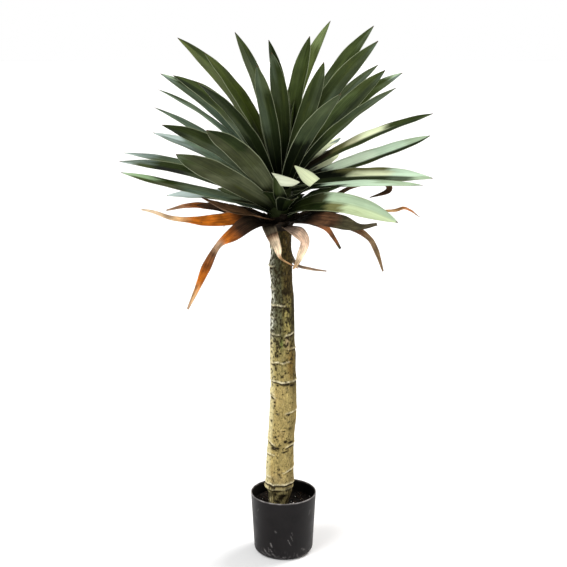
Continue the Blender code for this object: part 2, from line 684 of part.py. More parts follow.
def dry_sections(row):
    """Sections of a dry leaf along a smooth curve through its points."""
    width, bearing, height, points = row
    b = math.radians(bearing)
    root_x = CROWN_X + DRY_ROOT_RADIUS * math.sin(b)
    root_y = -DRY_ROOT_RADIUS * math.cos(b)
    root = (root_x, root_y, height, DRY_ROOT_SHARE, 0.0)
    steps = 1 if len(points) >= DRY_MANY_POINTS else 2
    curve = smooth_curve((root,) + tuple(points), steps)
    centres = curve[:, :3]
    tangents = np.gradient(centres, axis=0)
    across = np.cross(tangents[0], (0.0, 0.0, 1.0))
    sections = []
    for centre, tangent, share, roll in zip(centres, tangents, curve[:, 3], curve[:, 4]):
        tangent = unit(tangent)
        across = unit(across - tangent * np.dot(across, tangent))
        normal = np.cross(across, tangent)
        turn = math.radians(roll)
        turned = across * math.cos(turn) + normal * math.sin(turn)
        half = 0.5 * width * max(DRY_LEAST_SHARE, share)
        sections.append((centre, turned, np.cross(turned, tangent), half))
    return sections


def back_leaf_rows():
    """Far-side green leaves: bearings spread by the golden share, lower ones flatter."""
    draw = random.Random(SEED)
    rows = []
    low, high = OUTER_BACK_BEARINGS
    for i in range(OUTER_BACK_COUNT):
        share = i / (OUTER_BACK_COUNT - 1)
        spread = 1.0 - OUTER_BACK_NARROWING * share
        place = ((i * GOLDEN_SHARE) % 1.0 - 0.5) * spread + 0.5
        bearing = low + (high - low) * place
        rise = OUTER_BACK_RISES[0] + (OUTER_BACK_RISES[1] - OUTER_BACK_RISES[0]) * share
        height = OUTER_BACK_HEIGHTS[0] + (OUTER_BACK_HEIGHTS[1] - OUTER_BACK_HEIGHTS[0]) * share
        rows.append((
            bearing + draw.uniform(-BACK_BEARING_JITTER, BACK_BEARING_JITTER),
            rise + draw.uniform(-BACK_RISE_JITTER, BACK_RISE_JITTER),
            draw.uniform(*OUTER_BACK_LENGTHS),
            draw.uniform(*OUTER_BACK_WIDTHS),
            height,
            draw.uniform(*OUTER_BACK_ARCHES),
            draw.uniform(-BACK_SWAY, BACK_SWAY),
            draw.uniform(-BACK_ROLL, BACK_ROLL),
        ))
    for bearing in INNER_BACK_BEARINGS:
        rise = draw.uniform(*INNER_BACK_RISES)
        length = draw.uniform(*INNER_BACK_LENGTHS)
        sway = draw.uniform(-BACK_SWAY, BACK_SWAY)
        rows.append((bearing, rise, length, INNER_BACK_WIDTH, INNER_BACK_HEIGHT, INNER_BACK_ARCH, sway, 0.0))
    return rows


def young_leaf_rows():
    """Upright young leaves at even bearings round the axis."""
    draw = random.Random(SEED + 2)
    rows = []
    for i in range(YOUNG_COUNT):
        bearing = 360.0 * (i + 0.5) / YOUNG_COUNT
        rise = draw.uniform(*YOUNG_RISES)
        length = draw.uniform(*YOUNG_LENGTHS)
        rows.append((bearing, rise, length, YOUNG_WIDTH, YOUNG_HEIGHT, YOUNG_ARCH, 0.0, 0.0))
    return rows


def back_dry_rows():
    """Dry leaves that hang on the far side."""
    draw = random.Random(SEED + 1)
    rows = []
    low, high = DRY_BACK_BEARINGS
    for i in range(DRY_BACK_COUNT):
        even = low + (high - low) * i / (DRY_BACK_COUNT - 1)
        bearing = even + draw.uniform(-DRY_BACK_BEARING_JITTER, DRY_BACK_BEARING_JITTER)
        b = math.radians(bearing)
        drop = draw.uniform(*DRY_BACK_DROPS)
        reach = draw.uniform(*DRY_BACK_REACHES)
        points = []
        for share, width_share in DRY_BACK_SHARES:
            out = DRY_ROOT_RADIUS + reach * math.sin(0.5 * math.pi * share)
            height = DRY_BACK_ROOT + DRY_BACK_LIFT * share - drop * share ** DRY_BACK_DROP_CURVE
            roll = DRY_BACK_ROLL * share * draw.uniform(-1.0, 1.0)
            points.append((CROWN_X + out * math.sin(b), -out * math.cos(b), height, width_share, roll))
        rows.append((draw.uniform(*DRY_BACK_WIDTHS), bearing, DRY_BACK_ROOT, tuple(points)))
    return rows


def join_blades(target, section_lists, fold, mat):
    """Unite blades with the target in one Boolean."""
    blades = bpy.data.collections.new("blades")
    bpy.context.scene.collection.children.link(blades)
    for sections in section_lists:
        verts, faces = blade_body(sections, fold)
        blade = new_object("blade", verts, faces, mat)
        bpy.context.scene.collection.objects.unlink(blade)
        blades.objects.link(blade)
    boolean(target, blades, "UNION", "MANIFOLD")
    bpy.data.collections.remove(blades)
    keep_outer_skin(target)
    target.data.shade_smooth()
    target.data.set_sharp_from_angle(angle=math.radians(BLADE_SMOOTH_ANGLE))


def build_leaf_head(mat):
    loops = [circle(CROWN_X, r, h, SPIGOT_SIDES) for h, r in CORE_RADII]
    tip = (CROWN_X, 0.0, CORE_RADII[-1][0] + CORE_TIP)
    verts, faces = loft(loops, (CROWN_X, 0.0, CORE_BOTTOM), tip)
    head = new_object("leaf_head", verts, faces, mat)
    lists = [arched_sections(row, LEAF_STATIONS) for row in FRONT_LEAVES]
    lists.extend(arched_sections(row, BACK_STATIONS) for row in SHORT_LEAVES)
    lists.extend(arched_sections(row, BACK_STATIONS) for row in back_leaf_rows())
    lists.extend(arched_sections(row, BACK_STATIONS) for row in young_leaf_rows())
    lists.extend(folded_sections(row) for row in FOLDED_LEAVES)
    join_blades(head, lists, LEAF_FOLD, mat)
    socket = SPIGOT_RADIUS + GAP
    low = CORE_BOTTOM - CUTTER_RUN_OUT
    high = SPIGOT_TOP + GAP
    loops = [circle(CROWN_X, socket, h, TRUNK_SIDES) for h in (low, high)]
    verts, faces = loft(loops, (CROWN_X, 0.0, low), (CROWN_X, 0.0, high))
    cutter = new_object("socket_cutter", verts, faces, mat)
    cutter.hide_render = True
    cutter.display_type = "WIRE"
    boolean(head, cutter, "DIFFERENCE")
    keep_outer_skin(head)
    return head


def build_dry_leaves(mat):
    bore = SPIGOT_RADIUS + GAP
    middle = 0.5 * (COLLAR_BOTTOM + COLLAR_TOP)
    heights = (COLLAR_BOTTOM, middle, COLLAR_TOP)
    loops = [circle(CROWN_X, r, h, SPIGOT_SIDES) for h, r in zip(heights, COLLAR_RADII)]
    loops.extend(circle(CROWN_X, bore, h, SPIGOT_SIDES) for h in reversed(heights))
    verts, faces = ring_body(loops)
    dry = new_object("dry_leaves", verts, faces, mat)
    lists = [dry_sections(row) for row in DRY_LEAVES]
    lists.extend(dry_sections(row) for row in back_dry_rows())
    join_blades(dry, lists, DRY_FOLD, mat)
    return dry


def main():
    clear_scene()
    build_pot(material("black_plastic", POT_COLOUR))
    build_soil(material("soil", SOIL_COLOUR))
    build_trunk(material("bark", TRUNK_COLOUR))
    build_leaf_head(material("green_leaf", LEAF_COLOUR))
    build_dry_leaves(material("dry_leaf", DRY_COLOUR))


main()
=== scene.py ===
"""The potted yucca dressed for rendering.

The CAD solids of the leaves, the dry leaves, the trunk, the soil and the pot
are replaced by finer pieces of the same form. Lengths are metres. A bearing is
in degrees, 0 toward the viewer, and grows to the viewer's right.
"""
import math
import random

import bpy
import numpy as np
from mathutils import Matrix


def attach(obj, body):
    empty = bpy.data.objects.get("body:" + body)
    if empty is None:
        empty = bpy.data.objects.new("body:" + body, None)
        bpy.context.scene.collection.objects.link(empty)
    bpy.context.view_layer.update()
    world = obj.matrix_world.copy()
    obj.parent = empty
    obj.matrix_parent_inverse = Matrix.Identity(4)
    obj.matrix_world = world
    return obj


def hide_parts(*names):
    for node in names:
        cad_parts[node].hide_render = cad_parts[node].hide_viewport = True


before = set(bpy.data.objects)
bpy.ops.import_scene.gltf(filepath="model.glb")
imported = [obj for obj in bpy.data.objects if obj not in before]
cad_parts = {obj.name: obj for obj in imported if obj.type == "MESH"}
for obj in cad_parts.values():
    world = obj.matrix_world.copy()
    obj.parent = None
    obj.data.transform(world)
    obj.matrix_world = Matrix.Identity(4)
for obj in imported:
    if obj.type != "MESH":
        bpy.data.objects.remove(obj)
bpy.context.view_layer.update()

# Palette: linear red, green, blue
PALETTE = {
    # Leaf paints, many of them painted light and shade. foot is painted shade. dark and deep are
    # partly dark leaf colour and partly painted shade, and brown_olive is painted shade on pale
    # leaves. cream, soft_cream, parchment, mist, bright_mist, white_green, mint and lime_mint are
    # painted sunlight. olive, moss and lime are partly painted light shining through the leaves.
    # ice, blue and frost are painted reflection of the pale sky. sheen and silver are painted
    # sheen. pitch and shade_brown are painted shade at the roots of dry leaves
    "foot": (0.0035, 0.0055, 0.0020), "deep": (0.016, 0.025, 0.007), "dark": (0.012, 0.019, 0.005),
    "green": (0.028, 0.040, 0.010), "olive": (0.066, 0.086, 0.024), "moss": (0.036, 0.053, 0.005),
    "sage": (0.043, 0.060, 0.017), "silver": (0.078, 0.104, 0.062), "ice": (0.115, 0.165, 0.110),
    "lime": (0.150, 0.195, 0.075), "grey_olive": (0.090, 0.100, 0.052),
    "lime_mint": (0.310, 0.450, 0.240), "mint": (0.360, 0.470, 0.310),
    "frost": (0.440, 0.530, 0.500), "parchment": (0.450, 0.450, 0.275),
    "soft_cream": (0.480, 0.575, 0.335), "grey": (0.034, 0.048, 0.022),
    "sheen": (0.058, 0.076, 0.034), "dull": (0.043, 0.049, 0.021), "blue": (0.170, 0.220, 0.190),
    "brown_olive": (0.130, 0.132, 0.050), "mist": (0.540, 0.700, 0.510),
    "bright_mist": (0.700, 0.850, 0.640), "cream": (0.720, 0.780, 0.500),
    "white_green": (0.860, 0.920, 0.700), "shade_brown": (0.018, 0.012, 0.007),
    "red_brown": (0.055, 0.026, 0.013), "chestnut": (0.095, 0.048, 0.022),
    "pitch": (0.007, 0.005, 0.003), "leek": (0.115, 0.160, 0.055), "fog": (0.100, 0.130, 0.075),
    "ochre": (0.260, 0.170, 0.090), "rosy": (0.740, 0.520, 0.370), "brown": (0.110, 0.052, 0.024),
    "orange": (0.420, 0.115, 0.009), "rust": (0.220, 0.062, 0.010), "straw": (0.520, 0.310, 0.140),
    "tan": (0.360, 0.240, 0.150), "pink_tan": (0.400, 0.290, 0.220), "bone": (0.780, 0.620, 0.430),
    "grey_brown": (0.085, 0.068, 0.044), "olive_brown": (0.048, 0.042, 0.021),
    # Leaf material, then dry leaf material
    "yellowing": (0.085, 0.095, 0.014), "rib": (0.120, 0.150, 0.060),
    "lower_face": (0.060, 0.080, 0.040), "margin": (0.360, 0.400, 0.250),
    "dead_tip": (0.090, 0.062, 0.032), "leaf_spot": (0.090, 0.052, 0.024),
    "dry_margin": (0.360, 0.240, 0.140), "dry_lower_face": (0.300, 0.210, 0.140),
    "dry_spot": (0.045, 0.022, 0.012),
    # Bark
    # The pale bark colours for the trunk's left edge, plain and in patches, are painted highlight
    "bark_warm": (0.330, 0.190, 0.090), "bark_left_highlight": (0.600, 0.530, 0.290),
    "bark_upper_left_highlight": (0.285, 0.280, 0.205), "patchy_left_highlight": (0.560, 0.570, 0.470),
    "bark_olive": (0.300, 0.250, 0.085), "bark_streak": (0.185, 0.110, 0.024),
    "bark_stain": (0.085, 0.135, 0.025), "bark_pink": (0.480, 0.360, 0.200),
    "bark_soot": (0.024, 0.018, 0.007), "bark_seam": (0.040, 0.034, 0.011),
    # The dark olive-brown for the trunk's upper right side is partly bark colour and partly
    # painted shade
    "bark_left": (0.062, 0.066, 0.038), "bark_right_brown_and_shade": (0.078, 0.052, 0.016),
    "bark_pit": (0.016, 0.011, 0.005), "lip_shade": (0.018, 0.011, 0.005),
    "lip_rim": (0.740, 0.670, 0.440), "bark_dust": (0.400, 0.360, 0.230),
    # Soil, pot and floor
    # Soil and its grains: dark soil, made darker still as painted shade inside the pot
    "soil": (0.0060, 0.0048, 0.0040), "soil_grain": (0.0080, 0.0065, 0.0055),
    "perlite": (0.300, 0.280, 0.250), "bark_bit": (0.034, 0.020, 0.012),
    "pale_bit": (0.500, 0.470, 0.440), "pot_dark": (0.0040, 0.0032, 0.0036),
    # The darker colour for the pot's inside is painted shade
    "pot_light": (0.0075, 0.0062, 0.0066), "pot_inside_shade": (0.0030, 0.0027, 0.0025),
    "pot_dust": (0.070, 0.065, 0.062), "pot_haze": (0.080, 0.074, 0.070),
    # The pale rim colour is painted highlight
    "pot_scuff": (0.200, 0.190, 0.185), "pot_rim_highlight": (0.460, 0.430, 0.420),
    "floor_low": (0.850, 0.850, 0.850), "floor_high": (0.870, 0.870, 0.870),
}

# Crown
CROWN_X = -0.008
LEAF_ROOT_RADIUS = 0.022
CROWN_SIDES = 96
CORE_OUTLINE = (
    (0.9903, 0.0330), (1.0050, 0.0345), (1.0500, 0.0340), (1.0950, 0.0310),
    (1.1250, 0.0270), (1.1400, 0.0130), (1.1440, 0.0005),
)
CORE_ROWS = 60
CORE_SPIRALS = 5.0
CORE_SCALE_HEIGHT = 0.012
CORE_SCALE_DEPTH = 0.0016
CORE_SCALE_RADII = (0.004, 0.020)
COLLAR_OUTLINE = ((0.9553, 0.0315), (0.9720, 0.0352), (0.9900, 0.0340))
COLLAR_ROWS = 20
COLLAR_TONES = ((0.7, 0.006, 3),)
COLLAR_SCALES = 16
COLLAR_SCALE_HEIGHTS = (0.958, 0.984)
COLLAR_SCALE_WIDTHS = (0.020, 0.032)
COLLAR_SCALE_SHAPE = ((0.036, 0.010, 1.0), (0.048, 0.020, 0.8), (0.062, 0.026, 0.12))
COLLAR_SCALE_JITTER = (0.9, 1.1)
COLLAR_SCALE_ROLL = 8.0
FIRST_COLLAR_NUMBER = 40

# Green blades
LEAF_PIECES = ("leaves_left", "leaves_right", "leaves_back", "leaves_inner", "folded_leaf_ends")
LEAF_ROWS = 34
LEAF_ACROSS = (-1.0, -0.93, -0.74, -0.48, -0.20, 0.0, 0.20, 0.48, 0.74, 0.93, 1.0)
LEAF_THICKNESS = (0.0007, 0.0022)
LEAF_THINNING = 0.75
# Greatest thickness of a narrow blade: at its edge, and its growth with the half width
LEAF_NARROW = (0.0006, 0.4)
RIB_CURVE = 0.8
LEAF_FOLD = 0.20
LEAF_FOLD_CHANGE = (1.25, 0.75)
LEAF_CREASE = 0.012
LEAF_DROOP = 0.05
WIDEST_AT = 0.52
ROOT_SHARE = 0.46
TIP_SHARE = 0.03
ROOT_CURVE = 1.3
TIP_CURVE = 3.1
LEAF_WAVE = 0.0013
LEAF_WAVE_SPAN = (0.1, 0.4, 0.9, 1.0)
LEAF_WAVE_CURVE = 2.5
LEAF_WAVE_HALF = 0.03
# Waves of the margins: turns along the leaf, shift from leaf to leaf, skew of
# the two sides, share
LEAF_WAVES = ((2.3, 0.37, 1.7, 1.0), (5.1, 0.61, -0.9, 0.5))
PAINT_BLEND = 0.035
EDGE_SHADE = 0.22
SPLIT_BLEND = 0.10
STRIP_EDGE = (-0.62, -0.38)
RAGGED_DEPTH = 0.02
RAGGED_TURNS = 9.0
FOOT_SHADE = 0.94
STEEP_RISE = 33.0
FOOT_REACH_STEEP = (0.13, 0.47)
FOOT_REACH_FLAT = (0.05, 0.22)
FIELD_CELLS = 32

# Leaves that the photo shows: bearing, rise, length, width, base height, arch
# and sway as shares of the length, roll, then the paint of the left and of the
# right half as seen from the root toward the tip with the upper face up. Two of
# them add the place of the line between the halves, and one the paint of a strip
# along its left edge. A paint is a colour, or colours with the shares of the
# length where one gives way to the next
# Most of these paints carry painted light and shade. Pale paints on faces and ends turned to the
# light are painted sunlight. Dark paints on faces turned away and at the feet are painted shade.
# The places where dark gives way to pale along a leaf, the line between the halves and the strip
# along an edge follow painted shadow edges. Pale bluish tips are painted reflection of the sky
FRONT_LEAVES = (
    (-132.0, 44.3, 0.532, 0.066, 1.100, 0.060, 0.048, 11, "olive", "green"),
    (-123.9, 53.8, 0.398, 0.066, 1.110, 0.056, 0.025, 2, "moss", "moss"),
    (-144.4, 61.5, 0.418, 0.051, 1.120, 0.033, 0.040, -5, "sheen 0.8 sage", "grey 0.8 green"),
    (-13.7, 54.9, 0.387, 0.047, 1.090, 0.017, -0.006, 4, "deep 0.78 sheen", "grey 0.42 silver"),
    (-17.1, 77.3, 0.366, 0.040, 1.110, 0.033, -0.049, 5, "deep", "grey"),
    (-6.6, 63.4, 0.377, 0.046, 1.100, 0.017, -0.038, -3, "deep 0.45 green 0.92 silver",
     "green 0.6 sheen 0.8 silver"),
    (142.0, 73.1, 0.372, 0.057, 1.120, 0.071, 0.023, 2, "green 0.62 sage", "green"),
    (148.0, 58.3, 0.469, 0.037, 1.120, 0.015, -0.067, -28, "olive 0.8 lime", "olive 0.82 lime"),
    (29.2, 57.2, 0.373, 0.048, 1.100, 0.012, -0.012, 16, "sage 0.6 sheen 0.92 sage",
     "foot 0.27 sage"),
    (125.5, 53.4, 0.504, 0.064, 1.100, 0.082, 0.033, -10, "sheen 0.62 sage",
     "green 0.82 sheen 0.93 silver"),
    (47.1, 50.7, 0.485, 0.060, 1.090, 0.071, -0.003, 19, "silver 0.62 sheen 0.93 ice",
     "green 0.6 sage 0.93 sheen"),
    (132.7, 39.0, 0.469, 0.047, 1.100, 0.069, 0.016, -6, "sheen", "silver"),
    (60.2, 47.6, 0.423, 0.061, 1.080, 0.041, -0.006, 34, "silver 0.62 sheen 0.9 silver",
     "foot 0.22 deep 0.3 olive 0.4 leek 0.78 olive 0.95 sage"),
    (110.3, 40.0, 0.446, 0.059, 1.090, 0.081, 0.015, -25, "green 0.92 mint",
     "green 0.8 sheen 0.92 blue"),
    (24.5, 40.5, 0.434, 0.058, 1.060, 0.040, 0.030, 0, "foot 0.49 grey 0.8 sheen",
     "foot 0.49 grey 0.62 sheen"),
    (56.9, 39.8, 0.425, 0.053, 1.078, 0.054, 0.001, 11, "foot 0.26 sheen 0.8 silver",
     "foot 0.28 dark 0.44 green 0.62 grey 0.8 silver"),
    (95.3, 24.3, 0.437, 0.058, 1.090, 0.038, -0.021, -17,
     "shade_brown 0.33 brown_olive 0.43 parchment 0.52 cream 0.69 green",
     "foot 0.26 green 0.62 deep 0.92 sheen"),
    (155.8, 12.1, 0.433, 0.057, 1.080, 0.040, 0.023, 9, "cream",
     "brown_olive 0.42 cream 0.75 blue"),
    (156.9, 7.6, 0.438, 0.052, 1.060, 0.008, 0.007, 2, "foot 0.58 cream", "cream"),
    (114.0, 15.0, 0.467, 0.061, 1.075, -0.003, -0.010, -21,
     "foot 0.29 bright_mist 0.62 mist 0.84 mint", "green 0.62 deep", 0.28),
    (93.0, 2.0, 0.399, 0.067, 1.080, 0.035, -0.036, -28, "foot 0.43 cream 0.72 mist 0.92 mint",
     "deep 0.7 silver 0.86 mint", 0.12, "foot 0.36 brown_olive 0.72 mist"),
    (72.0, 4.7, 0.374, 0.027, 1.063, 0.030, -0.013, -32, "foot 0.28 mist 0.65 mint",
     "foot 0.43 mist 0.78 mint 0.92 ice"),
    (47.6, 2.6, 0.379, 0.056, 1.002, 0.115, 0.067, -55, "green 0.3 dull 0.44 mint",
     "green 0.28 dark 0.45 brown_olive 0.6 soft_cream"),
    (-125.1, 36.1, 0.501, 0.048, 1.075, 0.064, 0.048, 32, "ice 0.62 silver 0.92 blue",
     "deep 0.92 mint"),
    (-113.4, 43.4, 0.421, 0.070, 1.080, 0.123, -0.052, 16, "silver 0.46 sage 0.6 deep 0.8 dark",
     "sage"),
    (-36.5, 44.0, 0.438, 0.060, 1.060, 0.082, 0.000, 4, "deep 0.9 dark",
     "dark 0.45 sheen 0.62 green 0.8 deep"),
    (-89.8, 41.5, 0.410, 0.046, 1.065, 0.080, 0.001, 12, "ice",
     "ice 0.62 silver 0.8 grey 0.93 deep"),
    (-99.1, 35.5, 0.405, 0.051, 1.050, 0.053, 0.010, 9, "ice", "ice 0.92 grey"),
    (-63.2, 32.6, 0.379, 0.066, 1.050, 0.069, -0.010, -32, "silver 0.62 green",
     "fog 0.62 sheen 0.8 deep"),
    (-114.9, 23.5, 0.417, 0.057, 1.040, 0.054, 0.013, 15, "sheen 0.45 ice 0.6 blue 0.93 frost",
     "ice 0.78 frost"),
    (-24.5, 30.0, 0.460, 0.064, 1.030, 0.054, 0.000, -24, "grey_olive 0.4 dull 0.6 deep 0.78 dark",
     "grey_olive 0.42 dull"),
    (-40.5, 26.1, 0.414, 0.073, 1.012, 0.025, 0.021, -34, "grey_olive 0.5 dull 0.92 sheen",
     "dull 0.45 grey_olive 0.62 dull 0.82 green 0.93 silver"),
    (-102.6, 15.1, 0.446, 0.051, 1.040, 0.047, -0.034, 12, "sheen 0.8 blue 0.92 frost",
     "silver 0.78 blue"),
    (-73.9, 18.3, 0.440, 0.046, 1.018, 0.060, 0.017, -40, "deep 0.6 green 0.8 blue",
     "grey 0.58 foot 0.8 sage 0.92 frost"),
    (-69.5, 14.9, 0.435, 0.040, 1.020, -0.009, 0.029, 31,
     "grey_olive 0.28 ice 0.6 grey_olive 0.78 sage 0.94 mint",
     "fog 0.62 green 0.76 lime_mint 0.95 mint"),
    (-124.0, 1.6, 0.385, 0.057, 1.006, 0.054, -0.004, 23, "sheen 0.6 frost", "frost"),
)
# Short leaves low in the crown. Most are painted dark, deep and foot, as painted shade inside the
# crown
SHORT_LEAVES = (
    (-60.0, 22.9, 0.186, 0.054, 1.010, 0.050, 0.000, -30, "sheen", "sheen"),
    (-74.5, 17.5, 0.213, 0.060, 1.000, 0.040, 0.000, 20, "ice", "grey_olive"),
    (66.0, 24.8, 0.168, 0.052, 1.012, 0.050, 0.000, -18, "dark", "deep"),
    (45.5, 13.0, 0.183, 0.056, 1.000, 0.050, 0.000, -20, "foot", "foot"),
    (8.5, 19.0, 0.191, 0.054, 1.004, 0.100, 0.000, 0, "dark 0.6 foot", "foot"),
    (-22.0, 40.0, 0.105, 0.050, 1.006, 0.080, 0.000, 0, "dark", "dark"),
    (32.0, 34.0, 0.110, 0.052, 1.006, 0.080, 0.000, 0, "dark", "dark"),
    (84.0, 30.0, 0.110, 0.050, 1.006, 0.080, 0.000, 0, "dark", "dark"),
    (-82.0, 32.0, 0.110, 0.050, 1.006, 0.080, 0.000, 0, "dark", "dark"),
)

# Leaves on the far side and young leaves, placed by the rule of the CAD model
SEED = 41
OUTER_BACK_COUNT = 17
OUTER_BACK_BEARINGS = (133.0, 227.0)
OUTER_BACK_RISES = (40.0, -3.0)
OUTER_BACK_HEIGHTS = (1.090, 1.026)
OUTER_BACK_LENGTHS = (0.37, 0.42)
OUTER_BACK_WIDTHS = (0.052, 0.062)
OUTER_BACK_ARCHES = (0.03, 0.08)
OUTER_BACK_NARROWING = 0.25
BACK_SWAY = 0.02
BACK_ROLL = 14.0
BACK_BEARING_JITTER = 3.0
BACK_RISE_JITTER = 2.0
INNER_BACK_BEARINGS = (146.0, 169.0, 192.0, 214.0)
INNER_BACK_RISES = (60.0, 72.0)
INNER_BACK_LENGTHS = (0.22, 0.26)
INNER_BACK_WIDTH = 0.044
INNER_BACK_HEIGHT = 1.105
INNER_BACK_ARCH = 0.03
YOUNG_COUNT = 7
YOUNG_RISES = (84.0, 91.0)
YOUNG_LENGTHS = (0.16, 0.23)
YOUNG_WIDTH = 0.036
YOUNG_HEIGHT = 1.116
YOUNG_ARCH = 0.02
GOLDEN_SHARE = 0.618
BACK_COLOURS = ("deep", "green", "grey", "sheen")

# Leaves with folded ends and the folded ends themselves: sections of centre,
# direction across and half width, the part of a blade that they are, paints
SECTION_STEPS = 12
SECTION_LEAST_HALF = 0.0008
# The second folded leaf is painted foot all over, as painted shade
FOLDED_LEAVES = (
    ((((-0.008, -0.018, 1.030), (-1.00, 0.00, 0.00), 0.013),
      ((-0.009, -0.110, 1.062), (-0.90, 0.15, 0.40), 0.021),
      ((-0.017, -0.203, 1.120), (-0.57, 0.30, 0.77), 0.022)),
     (0.30, 0.62), "sheen", "foot 0.46 green"),
    ((((0.002, -0.016, 1.036), (-0.87, -0.50, 0.00), 0.012),
      ((0.040, -0.090, 1.064), (-0.85, -0.35, -0.40), 0.018),
      ((0.079, -0.152, 1.104), (-0.78, -0.10, -0.62), 0.017)),
     (0.30, 0.62), "foot", "foot"),
)
# The folded ends are painted near white and cream, as painted sunlight
FLAPS = (
    ((((-0.018, -0.206, 1.121), (-0.57, 0.30, 0.77), 0.021),
      ((0.016, -0.192, 1.114), (-0.50, 0.35, 0.79), 0.015),
      ((0.042, -0.167, 1.108), (-0.50, 0.35, 0.79), 0.001)),
     (0.62, 1.00), "white_green", "white_green"),
    ((((0.081, -0.154, 1.105), (-0.78, -0.10, -0.62), 0.017),
      ((0.058, -0.142, 1.122), (-0.68, -0.10, -0.73), 0.016),
      ((0.028, -0.120, 1.146), (-0.60, -0.10, -0.79), 0.001)),
     (0.62, 1.00), "cream", "cream"),
)

